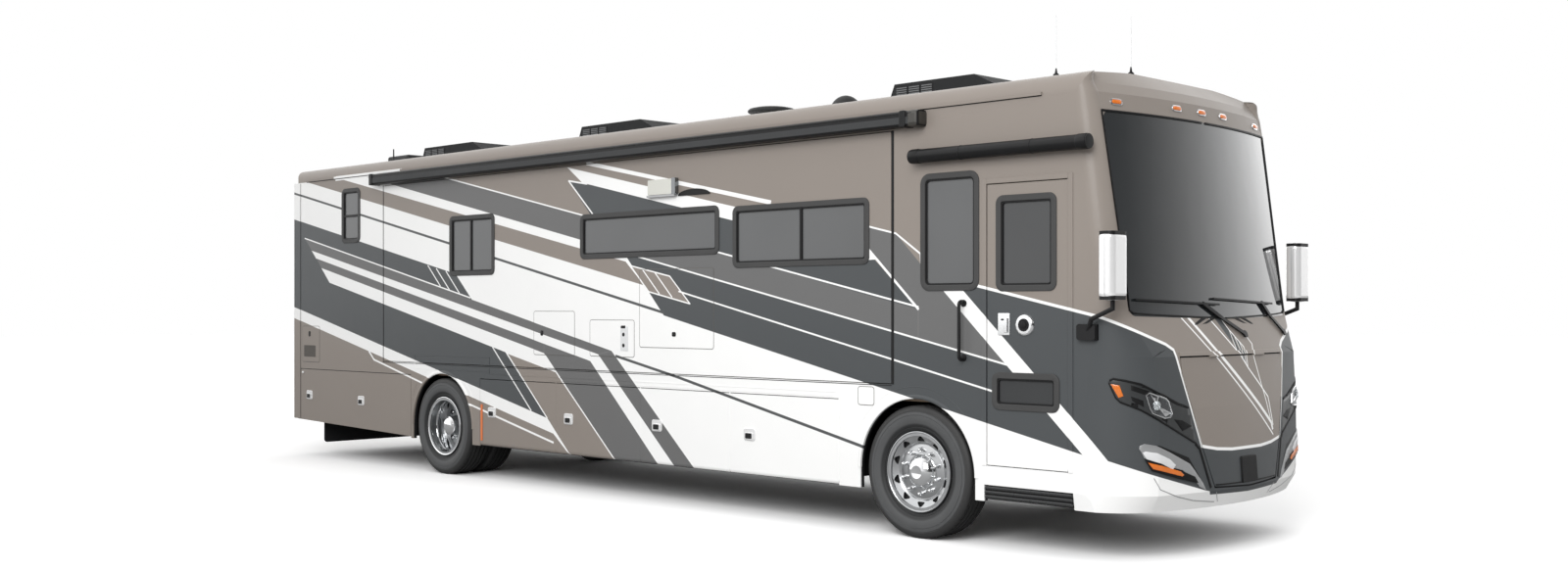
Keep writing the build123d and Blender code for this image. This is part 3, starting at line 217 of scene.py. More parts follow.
# %% [markdown]
# Pinstripes are the same idea with a line in place of a polygon: a point is in the stripe when its distance
# across is under half the width and its distance along is under half the length.

# %% Pinstripes, as polylines with a width
STRIPES = (
    (LINE_DARK, 0.025, ((-11.2, 3.4664), (-2.90, 1.711))),
    (LINE_DARK, 0.025, ((-3.57, 1.31), (-2.7, 1.139), (-0.478, 0.653))),
    (WHITE, 0.036, ((-4.0, 3.12), (-1.56, 2.63))),
    (WHITE, 0.014, ((-8.13, 3.5), (0.022, 1.76))),
    (WHITE, 0.014, ((-3.46, 2.264), (0.86, 1.339))),
    (WHITE, 0.014, ((-2.70, 1.90), (0.717, 1.147))),
    (WHITE, 0.014, ((-3.44, 2.215), (-3.15, 1.94))),
    (WHITE, 0.015, ((-4.28, 2.97), (-3.914, 2.638))),
    (WHITE, 0.015, ((-4.28, 2.97), (-4.0, 2.925))),
    (WHITE, 0.012, ((-3.36, 2.14), (-2.82, 2.036), (-2.552, 1.79), (-3.105, 1.90), (-3.36, 2.14))),
    (WHITE, 0.012, ((-3.19, 2.10), (-2.96, 1.88))),
    (WHITE, 0.012, ((-3.02, 2.07), (-2.79, 1.85))),
    (WHITE, 0.014, ((-0.48, 2.389), (-0.2, 2.325), (0.036, 2.167))),
    (WHITE, 0.020, ((-0.486, 2.217), (0.022, 1.744))),
    (WHITE, 0.021, ((0.436, 1.944), (1.6, 1.694), (2.3, 1.5), (2.39, 1.46), (2.70, 0.785), (2.90, 0.757),
                    (3.10, 0.744), (3.6, 0.744))),
    (WHITE, 0.014, ((-9.39, 2.588), (-5.93, 1.86))),
    (WHITE, 0.014, ((-6.724, 2.21), (-6.486, 1.988))),
    (WHITE, 0.014, ((-6.562, 2.174), (-6.307, 1.94))),
    (WHITE, 0.014, ((-6.379, 2.143), (-6.129, 1.91))),
    (WHITE, 0.014, ((-5.533, 1.357), (-4.879, 0.745))),
    (WHITE, 0.014, ((-5.283, 1.298), (-4.617, 0.683))),
    (WHITE, 0.014, ((-4.47, 1.13), (-3.53, 0.3))),
    (WHITE, 0.020, ((-7.93, 1.27), (-7.82, 1.178), (-6.843, 0.952))),
    (WHITE, 0.020, ((-5.974, 0.767), (-4.521, 0.452))),
)

# %% [markdown]
# Two functions turn the tables into nodes. Both give a signed distance in metres, positive inside, and a last
# step turns a distance into a mask whose edge is about 2 mm soft, which is as sharp as masked paint looks.

# %% From tables to masks
EDGE_SOFT = 0.002


def inside_band(tree, point, corners):
    """Distance in metres to the nearest edge of a convex polygon, positive inside."""
    doubled_area = sum(a[0] * b[1] - b[0] * a[1] for a, b in zip(corners, corners[1:] + corners[:1]))
    turn = 1 if doubled_area > 0 else -1
    nearest = None
    for start, end in zip(corners, corners[1:] + corners[:1]):
        length = math.dist(start, end)
        across = (-turn * (end[1] - start[1]) / length, turn * (end[0] - start[0]) / length)
        level = -(across[0] * start[0] + across[1] * start[1])
        test = add_node(tree, "ShaderNodeVectorMath", {0: point, 1: (*across, level)}, operation="DOT_PRODUCT")
        distance = test.outputs["Value"]
        nearest = distance if nearest is None else sums(tree, "MINIMUM", nearest, distance)
    return nearest


def inside_stripe(tree, point, start, end, width):
    """Distance in metres to the nearest edge of a straight stripe, positive inside."""
    length = math.dist(start, end)
    along = ((end[0] - start[0]) / length, (end[1] - start[1]) / length)
    middle = ((start[0] + end[0]) / 2, (start[1] + end[1]) / 2)
    nearest = None
    for axis, half in (((-along[1], along[0]), width / 2), (along, (length + width / 2) / 2)):
        level = -(axis[0] * middle[0] + axis[1] * middle[1])
        test = add_node(tree, "ShaderNodeVectorMath", {0: point, 1: (*axis, level)}, operation="DOT_PRODUCT")
        distance = sums(tree, "SUBTRACT", half, sums(tree, "ABSOLUTE", test.outputs["Value"]))
        nearest = distance if nearest is None else sums(tree, "MINIMUM", nearest, distance)
    return nearest


def mask(tree, distance):
    """1 inside and 0 outside, with a soft edge."""
    return sums(tree, "MULTIPLY_ADD", distance, 1 / EDGE_SOFT, 0.5, clamp=True)


# %% [markdown]
# "Along" is worked out from the place on the skin: the distance ahead of the axle, plus the way that the skin
# has already turned in from the side. Ahead of the middle of the coach that is added and behind it taken off,
# so that both ends carry the side's bands on.

# %% The wrapped point on the skin
def skin_point(tree, place):
    """The point (along, height, 1) of the wrapped skin, with its parts."""
    parts = add_node(tree, "ShaderNodeSeparateXYZ", {0: place}).outputs
    ahead = sums(tree, "SUBTRACT", parts["X"], AXLE_X)
    turned_in = sums(tree, "SUBTRACT", HALF, sums(tree, "ABSOLUTE", parts["Y"]))
    end = sums(tree, "SIGN", sums(tree, "ADD", ahead, 4.0))
    along = sums(tree, "MULTIPLY_ADD", turned_in, end, ahead)
    point = add_node(tree, "ShaderNodeCombineXYZ", {0: along, 1: parts["Z"], 2: 1.0}).outputs[0]
    return point, ahead, turned_in, parts["Z"]


# %% Laying on the livery
def livery(tree, point):
    """The livery's colour at a wrapped point."""
    colour = WHITE
    for shade, corners in BANDS:
        colour = blend(tree, mask(tree, inside_band(tree, point, corners)), colour, shade)
    for shade in (LINE_DARK, WHITE):
        widest = None
        for stripe_shade, width, corners in STRIPES:
            if stripe_shade != shade:
                continue
            for start, end in zip(corners, corners[1:]):
                distance = inside_stripe(tree, point, start, end, width)
                widest = distance if widest is None else sums(tree, "MAXIMUM", widest, distance)
        colour = blend(tree, mask(tree, widest), colour, shade)
    return colour


# %% [markdown]
# The hood has a pattern of its own, which is not the same left and right: pinstripes fall from the foot of the
# windshield on the door side, cross the middle, and meet in a point on the driver's side. It is laid on in the
# plain view from ahead, width and height, and only ahead of the cap's seam.

# %% The hood's pattern, as (width, height)
HOOD_FROM = 1.70
HOOD_WEDGE = ((-0.149, 1.69), (-0.050, 1.69), (0.011, 1.591), (-0.006, 1.490))
HOOD_PANES = (
    ((0.000, 1.570), (0.040, 1.560), (0.062, 1.400), (0.020, 1.440)),
    ((0.062, 1.540), (0.100, 1.505), (0.118, 1.345), (0.080, 1.385)),
)
HOOD_STRIPES = (
    (0.013, ((-0.580, 1.690), (-0.327, 1.428), (0.458, 0.807))),
    (0.027, ((-0.492, 1.690), (-0.244, 1.420), (0.440, 0.899), (0.456, 0.850))),
    (0.013, ((-0.232, 1.690), (0.146, 1.312), (0.338, 1.157), (0.420, 1.091), (0.471, 0.879))),
    (0.011, ((-0.066, 1.690), (0.011, 1.591), (0.140, 1.467), (0.141, 1.322))),
    (0.011, ((0.200, 1.590), (0.240, 1.544), (0.292, 1.485), (0.250, 1.409), (0.329, 1.185), (0.359, 1.115),
             (0.428, 0.931))),
    (0.008, ((0.011, 1.591), (0.020, 1.440))),
    (0.008, ((0.058, 1.550), (0.080, 1.385))),
    (0.008, ((0.098, 1.508), (0.118, 1.345))),
)


def hood_pattern(tree, place, ahead, colour):
    """Lays the hood's wedge, panes and stripes over the livery, on the front only."""
    parts = add_node(tree, "ShaderNodeSeparateXYZ", {0: place}).outputs
    point = add_node(tree, "ShaderNodeCombineXYZ", {0: parts["Y"], 1: parts["Z"], 2: 1.0}).outputs[0]
    in_front = sums(tree, "GREATER_THAN", ahead, HOOD_FROM)
    for corners in (HOOD_WEDGE, *HOOD_PANES):
        shape = sums(tree, "MULTIPLY", mask(tree, inside_band(tree, point, corners)), in_front)
        colour = blend(tree, shape, colour, SLATE)
    widest = None
    for width, corners in HOOD_STRIPES:
        for start, end in zip(corners, corners[1:]):
            distance = inside_stripe(tree, point, start, end, width)
            widest = distance if widest is None else sums(tree, "MAXIMUM", widest, distance)
    return blend(tree, sums(tree, "MULTIPLY", mask(tree, widest), in_front), colour, WHITE)


# %% [markdown]
# The same walls and caps are seen from inside through the glass, and a slide-out room shows its ends and roof
# when it is out. So the livery only covers the outer skin, and everything behind it gets the pale board of the
# cabin. On the sides the skin is what lies at the full width. On the caps it is what faces away from the
# middle of the coach. The roof's top is plain white.

# %% The coach paint
SKIN_DEPTH = 0.012
FRONT_SEAM = 1.403
REAR_SEAM = -9.49
ROOF_WHITE_Z = 3.425
RAIL_WHITE = ((-8.67, 3.230), (-7.25, 3.230), (-7.25, 3.282), (-8.67, 3.282))
CABIN_FLOOR_Z = 1.08


def make_coach_paint():
    """Livery outside, pale lining inside, white roof, all with a clear coat."""
    material, tree, shader, place = open_material("coach_paint")
    point, ahead, turned_in, height = skin_point(tree, place)
    colour = livery(tree, point)
    colour = hood_pattern(tree, place, ahead, colour)
    shoulder = mask(tree, sums(tree, "SUBTRACT", height, EAVE - 0.002))
    colour = blend(tree, shoulder, colour, TAUPE)
    rail = mask(tree, inside_band(tree, point, RAIL_WHITE))
    colour = blend(tree, rail, colour, WHITE)
    roof = sums(tree, "MULTIPLY_ADD", sums(tree, "SUBTRACT", height, ROOF_WHITE_Z), 60.0, 0.5, clamp=True)
    roof = sums(tree, "MULTIPLY", roof, sums(tree, "LESS_THAN", ahead, FRONT_SEAM - 0.001))
    colour = blend(tree, roof, colour, WHITE)
    on_side = sums(tree, "LESS_THAN", turned_in, SKIN_DEPTH)
    from_middle = add_node(tree, "ShaderNodeVectorMath", {0: place, 1: (at(-4.0), 0.0, 1.8)},
                           operation="SUBTRACT").outputs[0]
    facing = tree.nodes["Texture Coordinate"].outputs["Normal"]
    outward = add_node(tree, "ShaderNodeVectorMath", {0: facing, 1: from_middle}, operation="DOT_PRODUCT")
    faces_out = sums(tree, "GREATER_THAN", outward.outputs["Value"], 0.0)
    at_front = sums(tree, "GREATER_THAN", ahead, FRONT_SEAM - 0.001)
    at_rear = sums(tree, "LESS_THAN", ahead, REAR_SEAM + 0.001)
    at_top = sums(tree, "GREATER_THAN", height, EAVE - 0.001)
    at_end = sums(tree, "MAXIMUM", at_front, at_rear)
    on_cap = sums(tree, "MULTIPLY", faces_out, sums(tree, "MAXIMUM", at_end, at_top))
    skin = sums(tree, "MAXIMUM", on_side, on_cap)
    cloud = noise(tree, place, 1.6)
    lining = blend(tree, cloud, rgb(176, 170, 160), rgb(190, 185, 176))
    lining = blend(tree, sums(tree, "LESS_THAN", height, CABIN_FLOOR_Z), lining, rgb(34, 34, 35))
    drift = blend(tree, spread(tree, cloud, 0.0, 0.05), colour, rgb(60, 58, 56))
    tree.links.new(blend(tree, skin, lining, drift), shader.inputs["Base Color"])
    peel = noise(tree, place, 260.0, detail=2.0)
    tree.links.new(spread(tree, noise(tree, place, 5.0), 0.42, 0.50), shader.inputs["Roughness"])
    shader.inputs["Specular IOR Level"].default_value = 0.25
    shader.inputs["Coat Weight"].default_value = 0.12
    shader.inputs["Coat Roughness"].default_value = 0.16
    bump(tree, shader, peel, 0.04, 0.001)
    return material


coach_paint = make_coach_paint()
print("paint nodes", len(coach_paint.node_tree.nodes))

# %% [markdown]
# ## Plain finishes
# Most other surfaces are one substance: rubber, cast or polished metal, moulded plastic, board or cloth. They
# share a recipe. A slow noise lets the colour drift, a second one moves the gloss, and a fine one gives the
# grain its height. What is the same all over, such as the metal or the coat, is set straight on the shader.

# %% One recipe for the plain finishes
def make_finish(name, colour, roughness, grain, grain_depth, metallic=0.0, coat=0.0, drift=0.12, cloud=3.0):
    """A substance with a drifting colour and gloss and a fine grain of its own scale."""
    material, tree, shader, place = open_material(name)
    slow = noise(tree, place, cloud)
    dark = tuple(channel * (1 - drift) for channel in colour[:3]) + (1.0,)
    pale = tuple(min(1.0, channel * (1 + drift)) for channel in colour[:3]) + (1.0,)
    tree.links.new(blend(tree, slow, dark, pale), shader.inputs["Base Color"])
    gloss = spread(tree, noise(tree, place, cloud * 4), roughness * 0.85, min(1.0, roughness * 1.15))
    tree.links.new(gloss, shader.inputs["Roughness"])
    shader.inputs["Metallic"].default_value = metallic
    shader.inputs["Specular IOR Level"].default_value = 0.5 if metallic or coat else 0.25
    shader.inputs["Coat Weight"].default_value = coat
    bump(tree, shader, noise(tree, place, grain, detail=4.0), 0.35, grain_depth)
    return material


flap_rubber = make_finish("flap_rubber", rgb(30, 31, 32), 0.72, 220.0, 0.0012, cloud=6.0)
chassis_black = make_finish("chassis_black", rgb(22, 22, 23), 0.55, 70.0, 0.001, cloud=2.0)
black_plastic = make_finish("black_plastic", rgb(24, 24, 25), 0.42, 420.0, 0.0004)
trim_rubber = make_finish("trim_rubber", rgb(17, 17, 18), 0.5, 300.0, 0.0004)
liner = make_finish("locker_liner", rgb(96, 96, 96), 0.8, 350.0, 0.0015, cloud=5.0)
cab_trim = make_finish("cab_trim", rgb(92, 86, 80), 0.6, 500.0, 0.0006)
floor_board = make_finish("floor_board", rgb(120, 104, 88), 0.5, 60.0, 0.0005, cloud=4.0)
awning_gloss = make_finish("awning_gloss", rgb(15, 15, 16), 0.42, 200.0, 0.0001)
chrome = make_finish("chrome", rgb(226, 227, 228), 0.10, 30.0, 0.0001, metallic=1.0, drift=0.03)
chrome_shell = make_finish("chrome_shell", rgb(236, 236, 236), 0.16, 30.0, 0.0001, metallic=0.35, coat=0.3,
                           drift=0.02)
print("plain finishes", len(bpy.data.materials))

# %% [markdown]
# A tyre is painted in rings of light and shade: darker at the bead, as shade of the rim together with grease,
# greyer on its side, and darker on the shoulder and tread, where the rubber turns from the light.
# The tint follows the distance to the nearer axle. Both axles' lines run across the coach, so the distance is
# worked out in the plane of the wheel alone.

# %% Distance to the nearer axle, and the tyre's rubber
WHEELBASE = 6.452


def axle_distance(tree, place):
    """Distance to the nearer axle's line, in the wheel's plane."""
    parts = add_node(tree, "ShaderNodeSeparateXYZ", {0: place}).outputs
    ahead = sums(tree, "SUBTRACT", parts["X"], AXLE_X - WHEELBASE / 2)
    from_axle = sums(tree, "SUBTRACT", sums(tree, "ABSOLUTE", ahead), WHEELBASE / 2)
    up = sums(tree, "SUBTRACT", parts["Z"], TYRE_RADIUS)
    squares = sums(tree, "ADD", sums(tree, "MULTIPLY", from_axle, from_axle), sums(tree, "MULTIPLY", up, up))
    return sums(tree, "SQRT", squares)


def make_rubber():
    """Tyre rubber in painted rings of light and shade: dark bead, greyer side, dark tread, with a dusty drift."""
    material, tree, shader, place = open_material("tyre_rubber")
    radius = axle_distance(tree, place)
    past_bead = sums(tree, "MULTIPLY_ADD", sums(tree, "SUBTRACT", radius, 0.366), 60.0, 0.5, clamp=True)
    on_tread = sums(tree, "MULTIPLY_ADD", sums(tree, "SUBTRACT", radius, 0.458), 60.0, 0.5, clamp=True)
    dust = noise(tree, place, 9.0)
    side_tint = blend(tree, dust, rgb(64, 65, 66), rgb(78, 79, 80))
    # painted shade: the bead by the rim, and the shoulder and tread turning from the light, are darker than the
    # side
    colour = blend(tree, past_bead, rgb(28, 29, 30), side_tint)
    colour = blend(tree, on_tread, colour, rgb(40, 40, 40))
    tree.links.new(colour, shader.inputs["Base Color"])
    tree.links.new(spread(tree, dust, 0.52, 0.68), shader.inputs["Roughness"])
    bump(tree, shader, noise(tree, place, 240.0, detail=4.0), 0.35, 0.0008)
    return material


rubber = make_rubber()

# %% [markdown]
# Polished aluminium wheels are not a mirror. They were turned and buffed about their axle, so the marks run in
# rings. A fine noise along the distance from the axle's line gives them: it is the same all the way round.

# %% Polished aluminium
def make_aluminium():
    """Buffed aluminium, with fine rings about each axle."""
    material, tree, shader, place = open_material("polished_aluminium")
    radius = axle_distance(tree, place)
    ring_point = add_node(tree, "ShaderNodeCombineXYZ", {0: radius, 1: 0.0, 2: 0.0}).outputs[0]
    rings = noise(tree, ring_point, 420.0, detail=5.0)
    smudge = noise(tree, place, 14.0)
    tree.links.new(blend(tree, smudge, rgb(166, 168, 170), rgb(188, 189, 190)), shader.inputs["Base Color"])
    tree.links.new(spread(tree, rings, 0.22, 0.38), shader.inputs["Roughness"])
    shader.inputs["Metallic"].default_value = 1.0
    bump(tree, shader, rings, 0.12, 0.0004)
    return material


aluminium = make_aluminium()

# %% [markdown]
# The roof gear is moulded in matt black, which keeps off the glare. Dust makes it paler and duller in patches,
# so one noise drives both the colour and the gloss.

# %% Roof gear
def make_aerial_finish():
    """Matt black with a dusty drift, for the dish, the dome and the vent."""
    material, tree, shader, place = open_material("aerial_finish")
    dust = noise(tree, place, 12.0)
    tree.links.new(blend(tree, dust, rgb(20, 21, 21), rgb(28, 28, 29)), shader.inputs["Base Color"])
    tree.links.new(spread(tree, dust, 0.55, 0.72), shader.inputs["Roughness"])
    bump(tree, shader, noise(tree, place, 300.0, detail=4.0), 0.3, 0.0005)
    return material


aerial_finish = make_aerial_finish()
shroud_black = make_finish("shroud_black", rgb(28, 29, 30), 0.72, 160.0, 0.0008, cloud=5.0)

# %% [markdown]
# The side glass of such a coach is privacy glass: grey, nearly opaque from outside, and glossy. A little light
# still comes through, which is enough to make out the seats at close range.

# %% Tinted glass and lenses
def make_glass(name, colour, through, roughness=0.03, bend=1.5, coat=0.4):
    """Glossy tinted glass that lets a share of the light through."""
    material, tree, shader, place = open_material(name)
    wave = noise(tree, place, 1.3, detail=1.0)
    pale = tuple(channel * 1.25 for channel in colour[:3]) + (1.0,)
    tree.links.new(blend(tree, wave, colour, pale), shader.inputs["Base Color"])
    shader.inputs["Roughness"].default_value = roughness
    shader.inputs["Transmission Weight"].default_value = through
    shader.inputs["IOR"].default_value = bend
    shader.inputs["Coat Weight"].default_value = coat
    bump(tree, shader, wave, 0.02, 0.01)
    return material


tinted_glass = make_glass("tinted_glass", rgb(84, 85, 86), 0.05, bend=1.4, coat=0.1)
door_glass = make_glass("door_glass", rgb(58, 59, 60), 0.05, bend=1.4, coat=0.1)
windshield_glass = make_glass("windshield_glass", rgb(30, 33, 35), 0.03, bend=1.8, coat=0.5)
amber_lens = make_glass("amber_lens", rgb(226, 120, 40), 0.25, roughness=0.12)
red_lens = make_glass("red_lens", rgb(178, 26, 22), 0.25, roughness=0.12)
clear_lens = make_glass("clear_lens", rgb(226, 230, 232), 0.75, roughness=0.04)

# %% [markdown]
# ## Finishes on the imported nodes
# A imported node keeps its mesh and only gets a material. The table names the finish of each kind of node.

# %% Which node gets which finish
PAINTED = ("front_cap", "rear_cap", "hood", "engine_lid", "entry_door", "roof_shell",
           "left_wall", "right_wall", "left_slide_room", "right_slide_room",
           "left_engine_side_door", "right_engine_side_door",
           *(f"{name}_bay_door_{number}" for name, _ in SIDES for number in (1, 2, 3, 4)))
FINISHES = (
    (coach_paint, PAINTED),
    (tinted_glass, ("side_glass", "left_slide_glass", "right_slide_glass")),
    (door_glass, ("entry_door_glass",)),
    (windshield_glass, ("windshield",)),
    (flap_rubber, ("mud_flap",)),
    (rubber, ("front_left_tyre", "front_right_tyre", "rear_left_tyres", "rear_right_tyres")),
    (aluminium, ("front_left_rim", "front_right_rim", "rear_left_rims", "rear_right_rims")),
    (chassis_black, ("chassis_frame", "front_axle", "rear_axle", "left_knuckle", "right_knuckle", "engine",
                     "fuel_tank", "hitch", "wheel_wells")),
    (aerial_finish, ("roof_aerials",)),
    (shroud_black, ("air_conditioners",)),
    (black_plastic, ("wipers", "grab_handle", "mirrors",
                     "entry_step", "step_well", "front_lamps", "rear_lamps")),
    (awning_gloss, ("awnings",)),
    (liner, ("lockers",)),
    (cab_trim, ("dashboard", "steering_wheel", "cab_seats")),
    (floor_board, ("floor_deck",)),
)


def give_finish(thing, material):
    """Puts a material on a mesh, in place of what it had."""
    thing.data.materials.clear()
    thing.data.materials.append(material)


for material, names in FINISHES:
    for name in names:
        give_finish(nodes[name], material)
bare = sorted(set(nodes) - {name for _, names in FINISHES for name in names})
print("nodes without a finish:", bare)

# %% [markdown]
# ## Studio
# The set is a plain pale floor under an even sky of light, with one large soft panel over the door side and a
# weaker one ahead. To the camera the floor gives back rather more than falls on it, so that open floor is plain
# white while the ground under the coach, where little light gets in, stays dark. What the glass and the bright
# work mirror is darker ahead and brighter on the driver's side, as in a studio with one white wall. Of the two
# panels only the key panel shows in them.

# %% Floor, sky and lamps
SKY_LIGHT = 0.86
SKY_AHEAD_DARK = 1.3
SKY_MIRRORED = (0.05, 1.7)
SKY_ASIDE_BRIGHT = 1.15
SKY_ASIDE_SHARP = 4.0
FLOOR_GAIN = 1.2


def make_floor_material():
    """A pale floor that is white to the camera in full light and dark in deep shade."""
    material, tree, shader, place = open_material("studio_floor")
    grain = noise(tree, place, 30.0)
    path = add_node(tree, "ShaderNodeLightPath").outputs
    seen = sums(tree, "MAXIMUM", path["Is Camera Ray"], path["Is Transmission Ray"])
    plain = blend(tree, grain, rgb(168, 168, 168), rgb(174, 174, 174))
    bright = (FLOOR_GAIN, FLOOR_GAIN, FLOOR_GAIN, 1.0)
    tree.links.new(blend(tree, seen, plain, bright), shader.inputs["Base Color"])
    shader.inputs["Roughness"].default_value = 1.0
    shader.inputs["Specular IOR Level"].default_value = 0.0
    return material


floor_mesh = bmesh.new()
bmesh.ops.create_grid(floor_mesh, x_segments=2, y_segments=2, size=90.0)
floor_data = bpy.data.meshes.new("studio_floor")
floor_mesh.to_mesh(floor_data)
floor_mesh.free()
studio_floor = bpy.data.objects.new("studio_floor", floor_data)
bpy.context.scene.collection.objects.link(studio_floor)
give_finish(studio_floor, make_floor_material())

sky = bpy.data.worlds.new("studio")
bpy.context.scene.world = sky
sky.use_nodes = True
sky_tree = sky.node_tree
sky_shader = sky_tree.nodes["Background"]
sky_path = add_node(sky_tree, "ShaderNodeLightPath").outputs
sky_seen = sums(sky_tree, "MAXIMUM", sky_path["Is Camera Ray"], sky_path["Is Transmission Ray"])
sky_place = add_node(sky_tree, "ShaderNodeTexCoord").outputs["Generated"]
way = add_node(sky_tree, "ShaderNodeSeparateXYZ", {0: sky_place})
ahead_part = sums(sky_tree, "MULTIPLY_ADD", way.outputs["X"], -SKY_AHEAD_DARK, 1.0)
aside = sums(sky_tree, "POWER", sums(sky_tree, "MAXIMUM", way.outputs["Y"], 0.0), SKY_ASIDE_SHARP)
aside_part = sums(sky_tree, "MULTIPLY", aside, SKY_ASIDE_BRIGHT)
held = sums(sky_tree, "MINIMUM", sums(sky_tree, "MAXIMUM", ahead_part, SKY_MIRRORED[0]), SKY_MIRRORED[1])
mirrored = sums(sky_tree, "ADD", held, aside_part)
sky_shader.inputs["Color"].default_value = (1.0, 1.0, 1.0, 1.0)
lit = spread(sky_tree, sky_seen, SKY_LIGHT, 1.0)
past_light = sums(sky_tree, "SUBTRACT", mirrored, SKY_LIGHT)
reflected = sums(sky_tree, "MULTIPLY", sky_path["Is Glossy Ray"], past_light)
sky_tree.links.new(sums(sky_tree, "ADD", lit, reflected), sky_shader.inputs["Strength"])
bpy.context.scene.view_settings.view_transform = "Standard"

LAMPS = (
    # name, place, aimed at, size, power
    ("key_panel", (9.0, -14.0, 9.0), (0.0, 0.0, 1.4), 9.0, 1850.0),
    ("front_panel", (18.0, 3.0, 6.0), (4.0, 0.0, 1.5), 6.0, 150.0),
)
for name, spot, target, size, power in LAMPS:
    lamp_data = bpy.data.lights.new(name, "AREA")
    lamp_data.size = size
    lamp_data.energy = power
    lamp = bpy.data.objects.new(name, lamp_data)
    lamp.location = spot
    lamp.visible_glossy = name == "key_panel"
    lamp.rotation_euler = (Vector(target) - Vector(spot)).to_track_quat("-Z", "Y").to_euler()
    bpy.context.scene.collection.objects.link(lamp)
print("lamps", len(LAMPS))

# %% [markdown]
# ## Making and placing pieces
# Every added piece is a mesh made by bmesh operators. It is made flat or upright about its own middle, moved to
# its place by one matrix, and then joined to the piece's mesh, so that the finished object stands at the
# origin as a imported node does. Small faces are shaded soft, with sharp edges at over 35 degrees, and large ones
# flat, so that a bevel doesn't throw its shade across a panel.

# %% Mesh helpers
SHARP = math.radians(35)
FLAT_AREA = 0.002
# the material slot of each finish, by its name less the number that Blender adds to a name already taken
USUAL_SLOT = {
    "coach_paint": "coach_paint", "polished_aluminium": "polished_aluminium", "tyre_rubber": "tyre_rubber",
    "chassis_black": "chassis_steel", "cab_trim": "cab_trim", "seat_fabric": "seat_cover",
    **dict.fromkeys(("chrome", "chrome_shell", "dark_chrome_and_shade"), "mirror_chrome"),
    **dict.fromkeys(("silver_trim", "pale_trim"), "polished_aluminium"),
    **dict.fromkeys(("amber_lens", "red_lens", "clear_lens"), "lamp_lens"),
}


def join(target, part, matrix=None):
    """Adds one mesh to another, moved by a matrix, and frees it."""
    if matrix is not None:
        part.transform(matrix)
    scratch = bpy.data.meshes.new("scratch")
    part.to_mesh(scratch)
    target.from_mesh(scratch)
    bpy.data.meshes.remove(scratch)
    part.free()


def placed(part, matrix=None):
    """The mesh of a piece that is one part, moved by a matrix."""
    whole = bmesh.new()
    join(whole, part, matrix)
    return whole


def finish_piece(name, mesh, body, material, replaces=()):
    """Turns a bmesh into a shaded object that rides on a body."""
    bmesh.ops.remove_doubles(mesh, verts=mesh.verts, dist=0.00002)
    bmesh.ops.recalc_face_normals(mesh, faces=mesh.faces)
    for edge in mesh.edges:
        edge.smooth = len(edge.link_faces) == 2 and edge.calc_face_angle(0.0) < SHARP
    for face in mesh.faces:
        face.smooth = face.calc_area() < FLAT_AREA
    data = bpy.data.meshes.new(name)
    mesh.to_mesh(data)
    mesh.free()
    piece = bpy.data.objects.new(name, data)
    bpy.context.scene.collection.objects.link(piece)
    give_finish(piece, material)
    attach(piece, body)
    if replaces:
        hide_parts(*replaces)
    return piece


def raise_face(mesh, depth, soften):
    """Makes a slab of the flat faces: pushes them out by depth and rounds the far edges."""
    grown = bmesh.ops.extrude_face_region(mesh, geom=mesh.faces[:] + mesh.edges[:], use_keep_orig=True)
    moved = [item for item in grown["geom"] if isinstance(item, bmesh.types.BMVert)]
    bmesh.ops.translate(mesh, vec=(0, 0, depth), verts=moved)
    if soften:
        rim = [edge for edge in mesh.edges if all(vert.co.z > depth - 1e-7 for vert in edge.verts)
               and len({round(face.normal.z, 1) for face in edge.link_faces}) > 1]
        bmesh.ops.bevel(mesh, geom=rim, offset=soften, segments=2, profile=0.5, affect="EDGES", material=-1)


def outline_face(points):
    """A flat face from its corners."""
    mesh = bmesh.new()
    mesh.faces.new([mesh.verts.new((*point, 0.0)) for point in points])
    bmesh.ops.recalc_face_normals(mesh, faces=mesh.faces)
    if mesh.faces and next(iter(mesh.faces)).normal.z < 0:
        bmesh.ops.reverse_faces(mesh, faces=mesh.faces)
    return mesh


def rounded_face(width, height, radius, steps=5):
    """A flat rounded rectangle about the origin: a quad with its corners bevelled."""
    mesh = bmesh.new()
    corners = bmesh.ops.create_grid(mesh, x_segments=1, y_segments=1, size=0.5)["verts"]
    bmesh.ops.scale(mesh, vec=(width, height, 1), verts=corners)
    if radius:
        bmesh.ops.bevel(mesh, geom=corners, offset=radius, segments=steps, profile=0.5,
                        affect="VERTICES", material=-1)
    return mesh


def slab(width, height, radius, depth, soften=0.003, steps=5):
    """A rounded slab, from 0 to depth along Z."""
    mesh = rounded_face(width, height, radius, steps)
    raise_face(mesh, depth, soften)
    return mesh


def hoop(width, height, radius, band, depth, soften=0.003):
    """A rounded frame: a slab's outline with a band inset, its middle taken out, then raised."""
    mesh = rounded_face(width, height, radius)
    middle = mesh.faces[:]
    bmesh.ops.inset_region(mesh, faces=middle, thickness=band, use_even_offset=True, use_boundary=True)
    bmesh.ops.delete(mesh, geom=middle, context="FACES_ONLY")
    raise_face(mesh, depth, soften)
    return mesh


def disc(radius, depth, soften=0.002, sides=32, top_radius=None):
    """A round boss, from 0 to depth along Z."""
    mesh = bmesh.new()
    bmesh.ops.create_cone(mesh, cap_ends=True, segments=sides, radius1=radius,
                          radius2=radius if top_radius is None else top_radius, depth=depth)
    bmesh.ops.translate(mesh, vec=(0, 0, depth / 2), verts=mesh.verts)
    if soften:
        rim = [edge for edge in mesh.edges if all(vert.co.z > depth - 1e-7 for vert in edge.verts)]
        bmesh.ops.bevel(mesh, geom=rim, offset=soften, segments=2, profile=0.5, affect="EDGES", material=-1)
    return mesh


def on_side(side, along, height, out=0.0):
    """Puts a piece made flat, X along and Y up, on a side's skin, its Z outward."""
    return Matrix(((1, 0, 0, at(along)), (0, 0, -side, -side * (HALF + out)), (0, 1, 0, height),
                   (0, 0, 0, 1)))


